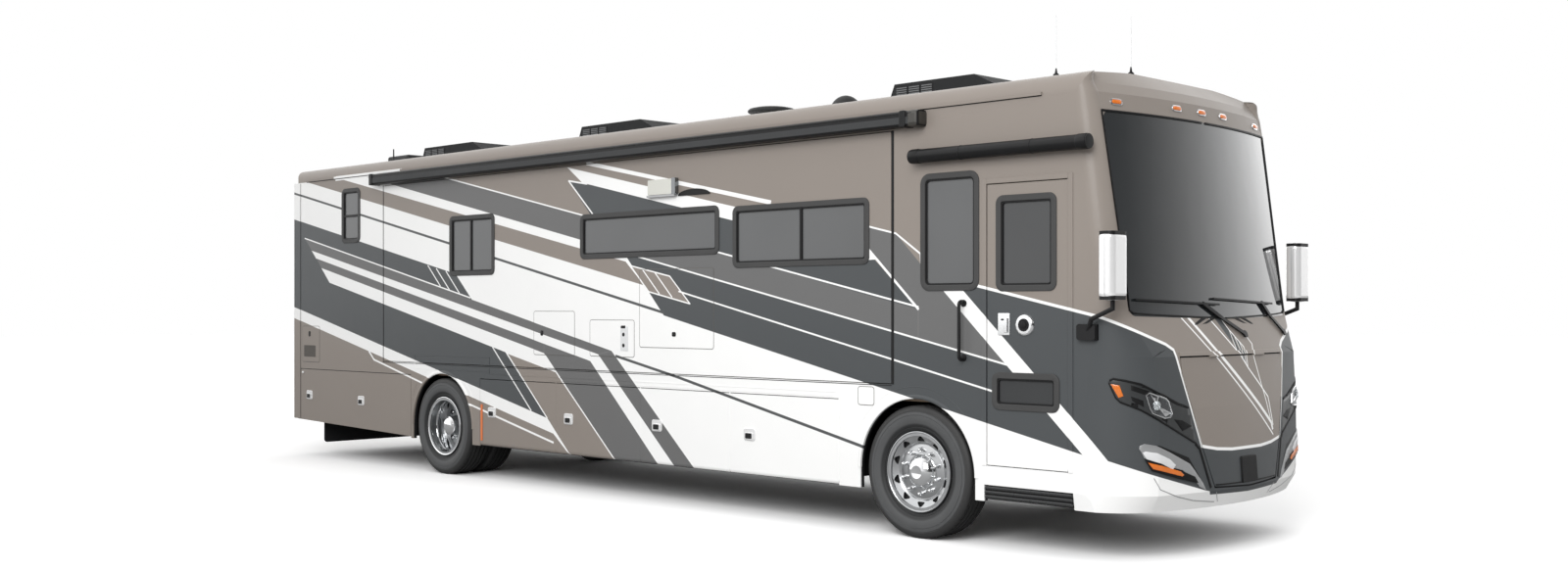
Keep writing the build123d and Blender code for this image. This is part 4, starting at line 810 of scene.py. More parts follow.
def skin_box(side, low_x, high_x, low_z, high_z, out=0.0):
    """The matrix that centres a flat piece on a panel of the side."""
    return on_side(side, (low_x + high_x) / 2, (low_z + high_z) / 2, out)


# %% [markdown]
# ## Window frames
# A coach window is bonded behind a moulded clamp frame that stands a few millimetres proud, with a soft inner
# lip against the glass, drawn wide enough to be a painted shade of the frame's reveal as well. Each one is a
# hoop:
# the opening's outline inset and raised. Sliding windows also have an upright bar where the panes meet. The frame
# of a door or slide-out window rides on that door or room.

# %% Window frames and bars
# name, body for the right and the left side, low and high place, low and high height, corner, bars
WINDOWS = (
    ("rear_window", "coach", "coach", -8.514, -8.123, 2.507, 3.118, 0.070, (("level", 2.81),)),
    ("long_window_1", "right_slide_room", "left_slide_room", -6.300, -5.503, 2.098, 2.708, 0.060,
     (("upright", -5.92),)),
    ("long_window_2", "right_slide_room", "left_slide_room", -4.090, -2.184, 2.222, 2.630, 0.060, ()),
    ("long_window_3", "right_slide_room", "left_slide_room", -2.000, -0.476, 2.100, 2.610, 0.060,
     (("upright", -1.21),)),
    ("front_window", "coach", None, 0.054, 0.588, 1.887, 2.755, 0.080, ()),
    ("door_window", "entry_door", None, 0.755, 1.262, 1.879, 2.557, 0.060, ()),
    ("door_low_window", "entry_door", None, 0.721, 1.286, 1.022, 1.280, 0.060, ()),
    ("driver_window", None, "coach", 0.330, 1.250, 1.800, 2.640, 0.080, (("upright", 0.80),)),
)
FRAME_OUTSET = 0.008
FRAME_BAND = 0.046
FRAME_PROUD = 0.009
GLASS_BACK = 0.0108
GASKET_AND_REVEAL_SHADE = 0.014
GASKET_LAP = 0.002
BAR_WIDTH = 0.026
BAR_DEEP = 0.014
BAR_BACK = 0.012
frame_grey = make_finish("frame_grey", rgb(64, 64, 64), 0.55, 300.0, 0.0004)

for name, right_body, left_body, low_x, high_x, low_z, high_z, corner, bars in WINDOWS:
    wide, tall = high_x - low_x, high_z - low_z
    for side_name, side in SIDES:
        body = right_body if side > 0 else left_body
        if body is None:
            continue
        place = skin_box(side, low_x, high_x, low_z, high_z, -GLASS_BACK)
        clamp = hoop(wide + 2 * FRAME_OUTSET, tall + 2 * FRAME_OUTSET, corner, FRAME_BAND,
                     FRAME_PROUD + GLASS_BACK, 0.005)
        finish_piece(f"{side_name}_{name}_frame", placed(clamp, place), body, frame_grey)
        shrink = 2 * (FRAME_BAND - FRAME_OUTSET - GASKET_LAP)
        # the black seal is a rubber lip and, in its width, a painted shade of the frame's reveal
        seal = placed(hoop(wide - shrink, tall - shrink, corner * 0.5, GASKET_AND_REVEAL_SHADE, 0.012, 0.002), place)
        for direction, where in bars:
            if direction == "upright":
                bar = slab(BAR_WIDTH, tall - shrink, 0, BAR_DEEP)
                join(seal, bar, on_side(side, where, (low_z + high_z) / 2, -BAR_BACK))
            else:
                bar = slab(wide - shrink, BAR_WIDTH, 0, BAR_DEEP)
                join(seal, bar, on_side(side, (low_x + high_x) / 2, where, -BAR_BACK))
        finish_piece(f"{side_name}_{name}_seal", seal, body, trim_rubber)
print("windows", len(WINDOWS))

# %% [markdown]
# ## Panels, latches and trim on the sides
# Service hatches are thin panels set in the wall. They carry the same livery, so they take the coach paint. A
# hatch stands 2.5 mm proud, with a soft edge that catches the light and a fine seam round it. The bay doors
# have pull latches: a bright pressed plate with a dark paddle in it. Each row names what its panel rides on.

# %% Hatches and panels
# name, body without its side, low and high place, low and high height, both sides
HATCHES = (
    ("fill_hatch", "coach", -9.44, -9.04, 1.12, 1.54),
    ("inlet_hatch", "slide_room", -4.83, -4.19, 1.30, 1.72),
    ("service_hatch", "slide_room", -3.95, -3.31, 1.305, 1.64),
    ("fridge_hatch", "slide_room", -3.23, -2.25, 1.40, 2.10),
    ("filler_flap", "coach", -0.583, -0.422, 0.996, 1.135),
)
HATCH_PROUD = 0.0025
HATCH_CORNER = 0.02
SEAM = 0.005
SEAM_PROUD = 0.0012
seam_grey = make_finish("seam_grey", rgb(98, 96, 93), 0.7, 300.0, 0.0002)


def body_for(kind, side_name):
    """The body of a kind of carrier on a side."""
    return "coach" if kind == "coach" else f"{side_name}_{kind}"


for name, kind, low_x, high_x, low_z, high_z in HATCHES:
    wide, tall = high_x - low_x, high_z - low_z
    for side_name, side in SIDES:
        body = body_for(kind, side_name)
        place = skin_box(side, low_x, high_x, low_z, high_z)
        hatch = placed(slab(wide, tall, HATCH_CORNER, HATCH_PROUD, 0.0018), place)
        finish_piece(f"{side_name}_{name}", hatch, body, coach_paint)
        seam = placed(hoop(wide + 2 * SEAM, tall + 2 * SEAM, HATCH_CORNER + SEAM, SEAM, SEAM_PROUD, 0), place)
        finish_piece(f"{side_name}_{name}_seam", seam, body, seam_grey)

# %% Latches
# place, height, body without its side
LATCHES = (
    (-9.270, 0.727, "engine_side_door"), (-8.094, 0.707, "engine_side_door"),
    (-5.541, 0.695, "bay_door_1"), (-4.278, 0.692, "bay_door_2"), (-2.990, 0.699, "bay_door_3"),
    (-1.803, 0.688, "bay_door_4"),
)
PADDLE_DROP = 0.012
for number, (along, height, kind) in enumerate(LATCHES, start=1):
    for side_name, side in SIDES:
        body = body_for(kind, side_name)
        latch = placed(slab(0.135, 0.105, 0.022, 0.008, 0.004), on_side(side, along, height))
        join(latch, slab(0.094, 0.062, 0.012, 0.008, 0.003), on_side(side, along, height - PADDLE_DROP, 0.009))
        finish_piece(f"{side_name}_latch_{number}", latch, body, chrome_shell)
        pocket = placed(slab(0.078, 0.046, 0.010, 0.0015, 0.0006),
                        on_side(side, along, height - PADDLE_DROP, 0.0165))
        finish_piece(f"{side_name}_latch_pocket_{number}", pocket, body, trim_rubber)

# %% [markdown]
# ## Belt mouldings and arch lips
# Shallow mouldings run above the bay doors and step up over the rear arch. The stretch on the slide-out room
# is a piece of its own, which goes out with the room. A rounded lip stiffens the edge of each arch: it is a
# section spun about the axle's line, which gives an even bend for few faces.

# %% Belt mouldings
# name, what it rides on, and its mouldings as low and high place, low and high height
BELTS = (
    ("belt", "coach", ((-5.590, -0.830, 1.0805, 1.0875), (-4.590, -0.830, 1.047, 1.053),
                       (-6.981, -5.590, 1.1015, 1.1085), (-6.985, -6.977, 1.105, 1.158),
                       (-5.594, -5.586, 1.084, 1.158))),
    ("room_belt", "slide_room", ((-6.985, -5.586, 1.245, 1.255), (-6.985, -6.977, 1.168, 1.250),
                                 (-5.594, -5.586, 1.168, 1.250))),
)
for side_name, side in SIDES:
    for name, kind, mouldings in BELTS:
        belt = bmesh.new()
        for low_x, high_x, low_z, high_z in mouldings:
            join(belt, slab(high_x - low_x, high_z - low_z, 0, 0.0025, 0.001),
                 skin_box(side, low_x, high_x, low_z, high_z))
        finish_piece(f"{side_name}_{name}", belt, body_for(kind, side_name), coach_paint)

# %% Arch lips
ARCH_RADIUS = 0.560
LIP_BAND = 0.030
LIP_PROUD = 0.010


def arch_lip(axle_place, side):
    """Half a hoop about an axle, on the skin."""
    mesh = bmesh.new()
    section = ((ARCH_RADIUS - 0.003, -0.030), (ARCH_RADIUS - 0.003, LIP_PROUD * 0.6),
               (ARCH_RADIUS + 0.006, LIP_PROUD), (ARCH_RADIUS + LIP_BAND - 0.008, LIP_PROUD * 0.7),
               (ARCH_RADIUS + LIP_BAND, -0.001))
    rim = [mesh.verts.new((radius, 0.0, out)) for radius, out in section]
    edges = [mesh.edges.new(pair) for pair in zip(rim, rim[1:])]
    bmesh.ops.spin(mesh, geom=rim + edges, cent=(0, 0, 0), axis=(0, 0, 1), angle=math.pi, steps=48,
                   use_merge=False)
    mesh.transform(on_side(side, axle_place, TYRE_RADIUS))
    return mesh


for side_name, side in SIDES:
    for corner, place in (("front", 0.0), ("rear", -WHEELBASE)):
        lip = placed(arch_lip(place, side))
        finish_piece(f"{corner}_{side_name}_arch_lip", lip, "coach", coach_paint)

# %% [markdown]
# ## The entrance
# The door sits in a raised frame of the body's colour. A paddle latch and a round lock sit side by side below
# the belt line, the lock a turned ring round a dark face that is left bare. The step's mouth below the door is
# closed by ribbed rubber treads.

# %% Door frame, latch, lock and step ribs
DOOR_X = (0.662, 1.366)
DOOR_Z = (0.604, 2.654)
DOOR_RING = 0.038
RING_PROUD = 0.007
LATCH_HEIGHT = 1.630
LOCK_AT = 1.000

ring = bmesh.new()
for post_x in (DOOR_X[0] - DOOR_RING / 2, DOOR_X[1] + DOOR_RING / 2):
    join(ring, slab(DOOR_RING, DOOR_Z[1] - DOOR_Z[0] + DOOR_RING, 0, RING_PROUD, 0.003),
         on_side(1, post_x, sum(DOOR_Z) / 2 + DOOR_RING / 2))
join(ring, slab(DOOR_X[1] - DOOR_X[0], DOOR_RING, 0, RING_PROUD, 0.003),
     on_side(1, sum(DOOR_X) / 2, DOOR_Z[1] + DOOR_RING / 2))
finish_piece("door_frame_trim", ring, "coach", coach_paint)

latch = bmesh.new()
join(latch, slab(0.105, 0.160, 0.008, 0.008, 0.003), on_side(1, 0.820, 1.635))
join(latch, slab(0.030, 0.115, 0.010, 0.012, 0.004), on_side(1, 0.842, LATCH_HEIGHT, 0.007))
join(latch, disc(0.080, 0.018, 0.008, sides=48, top_radius=0.072), on_side(1, LOCK_AT, LATCH_HEIGHT))
finish_piece("door_latch", latch, "entry_door", chrome)
lock = bmesh.new()
join(lock, disc(0.046, 0.005, 0.002, sides=36), on_side(1, LOCK_AT, LATCH_HEIGHT, 0.017))
join(lock, disc(0.026, 0.007, 0.002, sides=24), on_side(1, LOCK_AT, LATCH_HEIGHT, 0.020))
join(lock, slab(0.034, 0.012, 0.005, 0.0015, 0.0005), on_side(1, 0.812, 1.668, 0.008))
finish_piece("door_lock_face", lock, "entry_door", trim_rubber)

low_ring = placed(hoop(0.490, 0.183, 0.040, 0.009, 0.009, 0.002), on_side(1, 1.0035, 1.151, -0.010))
finish_piece("door_low_window_inner_ring", low_ring, "entry_door", trim_rubber)

step_rubber = make_finish("step_rubber", rgb(40, 41, 42), 0.28, 200.0, 0.0003, coat=0.3)
STEP_X = (0.640, 1.403)
STEP_RIBS = (0.380, 0.412, 0.444)
ribs = bmesh.new()
for height in STEP_RIBS:
    join(ribs, slab(STEP_X[1] - STEP_X[0] - 0.012, 0.024, 0.006, 0.016, 0.008, 3),
         on_side(1, sum(STEP_X) / 2, height, -0.012))
finish_piece("entry_step_ribs", ribs, "coach", step_rubber)

# %% [markdown]
# ## Bend a flat pattern onto the front
# The front cap is curved both ways, so a lamp or a line on it is drawn flat first, in the same two numbers as
# the livery: along the wrapped skin, and height. The flat shape is raised, cut into a fine grid, and each of
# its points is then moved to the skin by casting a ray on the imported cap, lamps and hood. What was height above
# the flat sheet becomes height above the skin.

# %% Draping helpers
def skin_tree(*names):
    """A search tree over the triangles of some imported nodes."""
    scratch = bmesh.new()
    for name in names:
        scratch.from_mesh(nodes[name].data)
    tree = BVHTree.FromBMesh(scratch)
    scratch.free()
    return tree


front_skin = skin_tree("front_cap", "hood", "front_lamps", "left_wall", "right_wall")
glass_skin = skin_tree("front_cap", "hood", "front_lamps", "windshield")
RAY_LEAD = 0.6
GRID_STEP = 0.035


def cut_grid(mesh):
    """Cuts a raised shape into strips both ways, so that it can bend."""
    for axis in (0, 1):
        places = [vert.co[axis] for vert in mesh.verts]
        low, high = min(places), max(places)
        count = max(1, math.ceil((high - low) / GRID_STEP))
        normal = Vector((1, 0, 0)) if axis == 0 else Vector((0, 1, 0))
        for index in range(1, count):
            geometry = mesh.verts[:] + mesh.edges[:] + mesh.faces[:]
            bmesh.ops.bisect_plane(mesh, geom=geometry, plane_no=normal,
                                   plane_co=normal * (low + (high - low) * index / count))


def drape(mesh, side, tree=None, lift=0.0):
    """Moves points (along, height, out) onto the front's skin; side 1 is the door side."""
    tree = tree or front_skin
    inward = Vector((-1, side, 0)).normalized()
    for vert in mesh.verts:
        along, height, out = vert.co
        start = Vector((at(along) + RAY_LEAD, -side * (HALF + RAY_LEAD), height))
        hit, normal, _, _ = tree.ray_cast(start, inward)
        if hit is None:
            hit, normal, _, _ = tree.find_nearest(start + inward * (RAY_LEAD * math.sqrt(2)))
        if normal.dot(inward) > 0:
            normal = -normal
        blend_out = (normal - inward * 0.6).normalized()
        vert.co = hit + blend_out * (out + lift)


def draped(corners, depth, side, soften=0.002, lift=0.0, tree=None):
    """A raised polygon laid on the front's skin."""
    mesh = outline_face(corners)
    raise_face(mesh, depth, soften)
    cut_grid(mesh)
    drape(mesh, side, tree, lift)
    return mesh


def strip(points, width):
    """The outline of a band of even width along a polyline."""
    left, right = [], []
    for index, point in enumerate(points):
        before = Vector(points[max(index - 1, 0)])
        after = Vector(points[min(index + 1, len(points) - 1)])
        run = (after - before).normalized()
        across = Vector((-run.y, run.x)) * width / 2
        left.append(tuple(Vector(point) + across))
        right.append(tuple(Vector(point) - across))
    return left + right[::-1]


# %% [markdown]
# ## Lamps and lines of the front
# The headlamp is a long slate pod between two black lines. It holds an amber reflector at its outer end, three
# black slots, a bright six-sided reflector bowl with a projector lens, and a black recess towards the hood. The
# bowl's floor is a darker chrome, a painted shade inside the bowl. The fog lamp below has a broad silver band
# over a dark slot with an amber bar.

# %% Front lamp tables
POD_TOP = ((1.705, 1.255), (1.740, 1.268), (1.850, 1.255), (2.000, 1.230), (2.200, 1.160), (2.400, 1.090),
           (2.540, 1.060))
POD_BOTTOM = ((1.700, 1.240), (1.760, 1.140), (1.800, 1.110), (2.000, 1.055), (2.200, 0.978), (2.400, 0.898),
              (2.580, 0.826), (2.625, 0.810))
AMBER_END = ((1.715, 1.232), (1.795, 1.224), (1.832, 1.150), (1.788, 1.138))
POD_SLOTS = (
    ((1.900, 1.226), (1.905, 1.190), (2.040, 1.158), (2.090, 1.182)),
    ((1.900, 1.150), (1.915, 1.118), (2.030, 1.075), (2.020, 1.120)),
    ((2.360, 0.985), (2.460, 0.975), (2.580, 0.930), (2.460, 0.900)),
)
BOWL = ((2.040, 1.160), (2.080, 1.182), (2.255, 1.135), (2.290, 1.112), (2.335, 1.022), (2.310, 0.998),
        (2.240, 0.992), (2.110, 1.030), (2.085, 1.060))
BOWL_MIDDLE = (2.185, 1.088)
PROJECTOR = (2.155, 1.085)
EYE_RADIUS = 0.034
FOG_BAND = ((1.980, 0.790), (1.985, 0.812), (2.030, 0.826), (2.150, 0.812), (2.300, 0.762), (2.540, 0.672),
            (2.600, 0.622), (2.700, 0.530), (2.740, 0.478), (2.660, 0.505), (2.600, 0.560), (2.450, 0.632),
            (2.300, 0.662), (2.200, 0.705), (2.030, 0.728), (2.000, 0.770))
FOG_INNER = ((2.012, 0.765), (2.040, 0.775), (2.160, 0.762), (2.300, 0.715), (2.370, 0.672), (2.335, 0.640),
             (2.200, 0.688), (2.050, 0.722))
FOG_SLOT = ((2.030, 0.722), (2.100, 0.642), (2.400, 0.576), (2.640, 0.534), (2.600, 0.580), (2.450, 0.626),
            (2.200, 0.690))
AMBER_BAR = ((2.062, 0.700), (2.112, 0.656), (2.440, 0.590), (2.462, 0.600), (2.420, 0.626), (2.200, 0.676))
FACETS = (((2.080, 1.174), (2.180, 1.148)), ((2.322, 1.030), (2.250, 1.006)))
# darker chrome: on the headlamp bowl's floor it is a painted shade; it also finishes the porch lamp's end
dark_chrome_and_shade = make_finish("dark_chrome_and_shade", rgb(120, 122, 124), 0.18, 60.0, 0.0002, metallic=0.9)
silver_trim = make_finish("silver_trim", rgb(158, 159, 160), 0.34, 220.0, 0.0002, metallic=0.35, coat=0.4,
                          drift=0.04)
pale_trim = make_finish("pale_trim", rgb(214, 215, 216), 0.30, 220.0, 0.0002, coat=0.4, drift=0.03)
pod_slate = make_finish("pod_slate", rgb(46, 48, 49), 0.36, 260.0, 0.0003, coat=0.3)


def scaled(corners, middle, factor):
    """Corners drawn in towards a middle."""
    return [(middle[0] + (x - middle[0]) * factor, middle[1] + (y - middle[1]) * factor) for x, y in corners]


# %% Headlamps and fog lamps
for side_name, side in SIDES:
    pod = placed(draped(POD_TOP + POD_BOTTOM[::-1], 0.002, side, 0.0008))
    finish_piece(f"{side_name}_pod_face", pod, "coach", pod_slate)
    lines = bmesh.new()
    join(lines, draped(strip(POD_TOP, 0.016), 0.006, side))
    join(lines, draped(strip(POD_BOTTOM, 0.014), 0.006, side))
    for corners in POD_SLOTS:
        join(lines, draped(corners, 0.004, side, 0.001))
    join(lines, draped(FOG_SLOT, 0.004, side, 0.001, lift=0.007))
    finish_piece(f"{side_name}_lamp_lines", lines, "coach", trim_rubber)
    rim = outline_face(BOWL)
    bmesh.ops.inset_region(rim, faces=rim.faces[:], thickness=0.011, use_even_offset=True, use_boundary=True)
    bmesh.ops.delete(rim, geom=[face for face in rim.faces if len(face.verts) > 4], context="FACES_ONLY")
    raise_face(rim, 0.014, 0.003)
    cut_grid(rim)
    drape(rim, side)
    bowl = placed(rim)
    for first, second in FACETS:
        join(bowl, draped((first, second, PROJECTOR), 0.006, side, 0.002, lift=0.003))
    finish_piece(f"{side_name}_lamp_bowl", bowl, "coach", chrome)
    # the bowl's floor in darker chrome, a painted shade inside the bowl
    floor = placed(draped(scaled(BOWL, BOWL_MIDDLE, 0.94), 0.004, side, 0.001))
    finish_piece(f"{side_name}_lamp_floor", floor, "coach", dark_chrome_and_shade)
    circle = [(PROJECTOR[0] + EYE_RADIUS * math.cos(step * math.pi / 12),
               PROJECTOR[1] + EYE_RADIUS * math.sin(step * math.pi / 12)) for step in range(24)]
    eye = placed(draped(circle, 0.014, side, 0.009, lift=0.006))
    finish_piece(f"{side_name}_projector", eye, "coach", clear_lens)
    amber = bmesh.new()
    join(amber, draped(AMBER_END, 0.008, side, 0.003))
    join(amber, draped(AMBER_BAR, 0.006, side, 0.002, lift=0.011))
    finish_piece(f"{side_name}_amber", amber, "coach", amber_lens)
    band = placed(draped(FOG_BAND, 0.008, side, 0.003))
    finish_piece(f"{side_name}_fog_band", band, "coach", silver_trim)
    inner = placed(draped(FOG_INNER, 0.012, side, 0.004))
    finish_piece(f"{side_name}_fog_inner", inner, "coach", pale_trim)

# %% [markdown]
# A black line below each lamp runs down the hood's side edge, a painted shadow of the hood's gap, and fine
# creases run along the bumper. A plain black plate on the hood covers the tow eye. Small amber lamps in bright
# rims mark the top of the cap.

# %% Hood lines, and the painted shadow of the hood's gap
HOOD_GAP_SHADOW = ((2.618, 0.806), (2.672, 0.768), (2.806, 0.490))
HOOD_FOOT = ((2.870, 0.505), (3.262, 0.500))
CREASE = ((2.130, 0.590), (2.200, 0.510), (2.400, 0.450), (2.600, 0.410), (2.870, 0.382))
CREASE_END = ((2.880, 0.455), (2.915, 0.380))
for side_name, side in SIDES:
    # a black strip by the hood's edge: painted shadow of the hood's gap
    line = placed(draped(strip(HOOD_GAP_SHADOW, 0.022), 0.005, side))
    finish_piece(f"{side_name}_hood_gap_shadow", line, "coach", trim_rubber)
    foot = placed(draped(strip(HOOD_FOOT, 0.010), 0.003, side, 0.001))
    finish_piece(f"{side_name}_hood_foot_line", foot, "hood", trim_rubber)
    crease = placed(draped(strip(CREASE, 0.006), 0.003, side, 0.001))
    join(crease, draped(strip(CREASE_END, 0.006), 0.002, side, 0.0006))
    finish_piece(f"{side_name}_bumper_crease", crease, "coach", silver_trim)


# %% [markdown]
# The windshield is bonded in a black rubber gasket. It follows the glass's outline in the same flat pattern:
# the two upright edges, the top and the foot.

# %% The windshield's gasket
GLASS_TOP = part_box("windshield")[1][2] - 0.004
GLASS_EDGE = ((1.672, GLASS_TOP), (1.820, 2.270), (1.895, 1.850), (1.905, 1.735), (1.960, 1.714))
GLASS_HEAD = ((1.668, GLASS_TOP), (2.945, GLASS_TOP))
GLASS_FOOT = ((1.960, 1.714), (2.200, 1.703), (3.000, 1.680), (3.120, 1.678))
for side_name, side in SIDES:
    gasket = placed(draped(strip(GLASS_EDGE, 0.014), 0.009, side, 0.003, tree=glass_skin))
    join(gasket, draped(strip(GLASS_HEAD, 0.016), 0.009, side, 0.003, tree=glass_skin))
    join(gasket, draped(strip(GLASS_FOOT, 0.012), 0.007, side, 0.003, tree=glass_skin))
    finish_piece(f"{side_name}_windshield_gasket", gasket, "coach", trim_rubber)

# %% [markdown]
# A hood closes on a rubber seal, and without one the gap would show light from behind. The seal is a ribbon
# across the gap, its two edges cast on the cap and on the hood and then set back under both.

# %% The hood's seal
HOOD_CORNERS = ((-0.744, 1.422), (-0.744, 1.290), (-0.575, 0.772), (-0.452, 0.477), (0.452, 0.477),
                (0.575, 0.772), (0.744, 1.290), (0.744, 1.422))
SEAL_HALF = 0.022
SEAL_BACK = 0.010
SEAL_STEP = 0.05


def on_front_point(y, z):
    """The place on the front's skin at a width and height."""
    hit = glass_skin.ray_cast(Vector((at(4.0), y, z)), Vector((-1, 0, 0)))[0]
    if hit is None or hit.x < at(1.7):
        near = glass_skin.find_nearest(Vector((at(2.0), y, z)))[0]
        hit = Vector((near.x, y, z))
    return hit - Vector((SEAL_BACK, 0, 0))


def seal_ribbon(corners):
    """A ribbon along a closed line of (width, height)."""
    mesh = bmesh.new()
    middle = Vector((0.0, 1.0))
    rails = ([], [])
    for start, end in zip(corners, corners[1:] + corners[:1]):
        start, end = Vector(start), Vector(end)
        count = max(1, round((end - start).length / SEAL_STEP))
        run = (end - start).normalized()
        across = Vector((-run.y, run.x)) * SEAL_HALF
        if across.dot(start - middle) < 0:
            across = -across
        for index in range(count + 1):
            spot = start + (end - start) * index / count
            for rail, place in zip(rails, (spot + across, spot - across)):
                rail.append(mesh.verts.new(on_front_point(*place)))
    loops = [[mesh.edges.new(pair) for pair in zip(rail, rail[1:] + rail[:1])] for rail in rails]
    bmesh.ops.bridge_loops(mesh, edges=loops[0] + loops[1])
    return mesh


finish_piece("hood_seal", placed(seal_ribbon(HOOD_CORNERS)), "coach", trim_rubber)


# %% Tow cover and marker lamps
def upright_on(hit, normal, lift=0.0):
    """A matrix that puts a flat piece, X across and Y up, on a skin at a point, its Z along the normal."""
    across = Vector((0, 0, 1)).cross(normal).normalized()
    matrix = Matrix((across, normal.cross(across), normal)).transposed().to_4x4()
    matrix.translation = hit + normal * lift
    return matrix


def on_front(y, z, lift=0.0):
    """A matrix that puts a flat piece on the front's skin at a width and height."""
    hit, normal, _, _ = glass_skin.ray_cast(Vector((at(4.0), y, z)), Vector((-1, 0, 0)))
    return upright_on(hit, normal, lift)


# width and height
MARKERS = ((1.013, 3.189), (0.340, 3.199), (0.0, 3.198), (-0.340, 3.199), (-1.013, 3.189))
MARKER_RIM = (0.118, 0.050, 0.024)
MARKER_LENS = (0.088, 0.030, 0.0145)
cover = placed(slab(0.230, 0.190, 0.012, 0.022, 0.006), on_front(0.0, 0.590, -0.012))
finish_piece("hitch_cover", cover, "hood", trim_rubber)
marker_rims, marker_lenses = bmesh.new(), bmesh.new()
for y, z in MARKERS:
    join(marker_rims, slab(*MARKER_RIM, 0.012, 0.005), on_front(y, z, -0.003))
    join(marker_lenses, slab(*MARKER_LENS, 0.010, 0.005), on_front(y, z, 0.006))
finish_piece("marker_rims", marker_rims, "coach", chrome)
finish_piece("marker_lenses", marker_lenses, "coach", amber_lens)

# %% [markdown]
# ## Mirrors and wipers
# Each mirror head is a tall bright shell with a fine joint round its middle, over the black arm that the solids
# give. The shell is a box with all its edges rounded wide, and the joint is a thin hoop round it.

# %% Mirror shells
def rounded_box(size, radius, steps=5):
    """A box about the origin with rounded edges."""
    mesh = bmesh.new()
    bmesh.ops.create_cube(mesh, size=1.0)
    bmesh.ops.scale(mesh, vec=size, verts=mesh.verts)
    bmesh.ops.bevel(mesh, geom=mesh.edges[:], offset=radius, segments=steps, profile=0.5, affect="EDGES",
                    material=-1)
    return mesh


MIRROR_AT = (1.769, 1.360)
MIRROR_Z = (1.806, 2.268)
MIRROR_SIZE = (0.126, 0.206)
ALONG_COACH = Matrix(((0, 0, 1, 0), (1, 0, 0, 0), (0, 1, 0, 0), (0, 0, 0, 1)))
for side_name, side in SIDES:
    tall = MIRROR_Z[1] - MIRROR_Z[0] + 0.006
    middle = Vector((at(MIRROR_AT[0]), -side * MIRROR_AT[1], sum(MIRROR_Z) / 2))
    shell = placed(rounded_box((MIRROR_SIZE[0], MIRROR_SIZE[1] + 0.004, tall), 0.046, 8),
                   Matrix.Translation(middle))
    finish_piece(f"{side_name}_mirror_shell", shell, "coach", chrome_shell)
    band = placed(hoop(MIRROR_SIZE[1] + 0.006, tall + 0.004, 0.048, 0.004, 0.005, 0.001),
                  Matrix.Translation(middle) @ ALONG_COACH)
    finish_piece(f"{side_name}_mirror_band", band, "coach", silver_trim)
    foot = bmesh.new()
    for shift in (-0.068, 0.068):
        join(foot, slab(0.020, 0.112, 0.006, 0.030, 0.006), on_side(side, 1.530 + shift, 1.585, -0.004))
    finish_piece(f"{side_name}_mirror_foot", foot, "coach", trim_rubber)

# %% [markdown]
# ## Wheels
# A highway tyre has a smooth side with a few moulded rings, a rounded shoulder, and a tread of five ribs with
# straight grooves. It is a surface of revolution, so half a section is drawn once and spun about the axle. The
# notches in the shoulder ribs are every other face of the rib, inset and pushed in. The new tyre stays inside
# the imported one's outline and takes its place.

# %% The tyre's section, half of it, as radius and place outward from the middle
TRACK_HALF = -(tyre_low.y + tyre_high.y) / 2
TWIN_SPACING = 0.318
TYRE_SIDE = (
    (0.2925, 0.096), (0.3165, 0.1035), (0.3220, 0.1100), (0.3280, 0.1130), (0.3310, 0.1130), (0.3330, 0.1175),
    (0.3365, 0.1190), (0.3400, 0.1180), (0.3420, 0.1200), (0.3600, 0.1285), (0.3850, 0.1350), (0.4073, 0.1375),
    (0.4280, 0.1365), (0.4300, 0.1335), (0.4330, 0.1335), (0.4350, 0.1358), (0.4560, 0.1330), (0.4575, 0.1300),
    (0.4610, 0.1295), (0.4630, 0.1312), (0.4820, 0.1280), (0.4900, 0.1235), (0.4985, 0.1175), (0.5040, 0.1095),
    (0.5058, 0.1040),
)
TREAD_RADIUS = TYRE_SIDE[-1][0]
GROOVES = (0.0720, 0.0245)
GROOVE_HALF = 0.0052
GROOVE_DEPTH = 0.012
TYRE_STEPS = 96
NOTCHED_RIB = (0.080, 0.104)


def half_section():
    """From the bead to the middle of the tread."""
    points = list(TYRE_SIDE)
    floor = TREAD_RADIUS - GROOVE_DEPTH
    for middle in GROOVES:
        points += [(TREAD_RADIUS, middle + GROOVE_HALF + 0.0015), (floor, middle + GROOVE_HALF - 0.001),
                   (floor, middle - GROOVE_HALF + 0.001), (TREAD_RADIUS, middle - GROOVE_HALF - 0.0015)]
    return points


def spun(section, steps, closed=False):
    """A surface of revolution about Z from points (radius, out)."""
    mesh = bmesh.new()
    verts = [mesh.verts.new((radius, 0.0, out)) for radius, out in section]
    pairs = list(zip(verts, verts[1:])) + ([(verts[-1], verts[0])] if closed else [])
    edges = [mesh.edges.new(pair) for pair in pairs]
    bmesh.ops.spin(mesh, geom=verts + edges, cent=(0, 0, 0), axis=(0, 0, 1), angle=2 * math.pi, steps=steps,
                   use_merge=True)
    bmesh.ops.remove_doubles(mesh, verts=mesh.verts, dist=0.00001)
    bmesh.ops.recalc_face_normals(mesh, faces=mesh.faces)
    return mesh


def make_tyre():
    """One tyre about its own middle, Z outward."""
    half = half_section()
    mesh = spun(half + [(radius, -out) for radius, out in reversed(half)], TYRE_STEPS, closed=True)
    notched = []
    for face in mesh.faces:
        middle = face.calc_center_median()
        turn = math.atan2(middle.y, middle.x) / (2 * math.pi) * TYRE_STEPS
        on_tread = math.hypot(middle.x, middle.y) > TREAD_RADIUS - 0.0013
        on_rib = NOTCHED_RIB[0] < abs(middle.z) < NOTCHED_RIB[1]
        if on_tread and on_rib and round(turn - 0.5) % 2:
            notched.append(face)
    bmesh.ops.inset_individual(mesh, faces=notched, thickness=0.004, depth=-0.004)
    return mesh


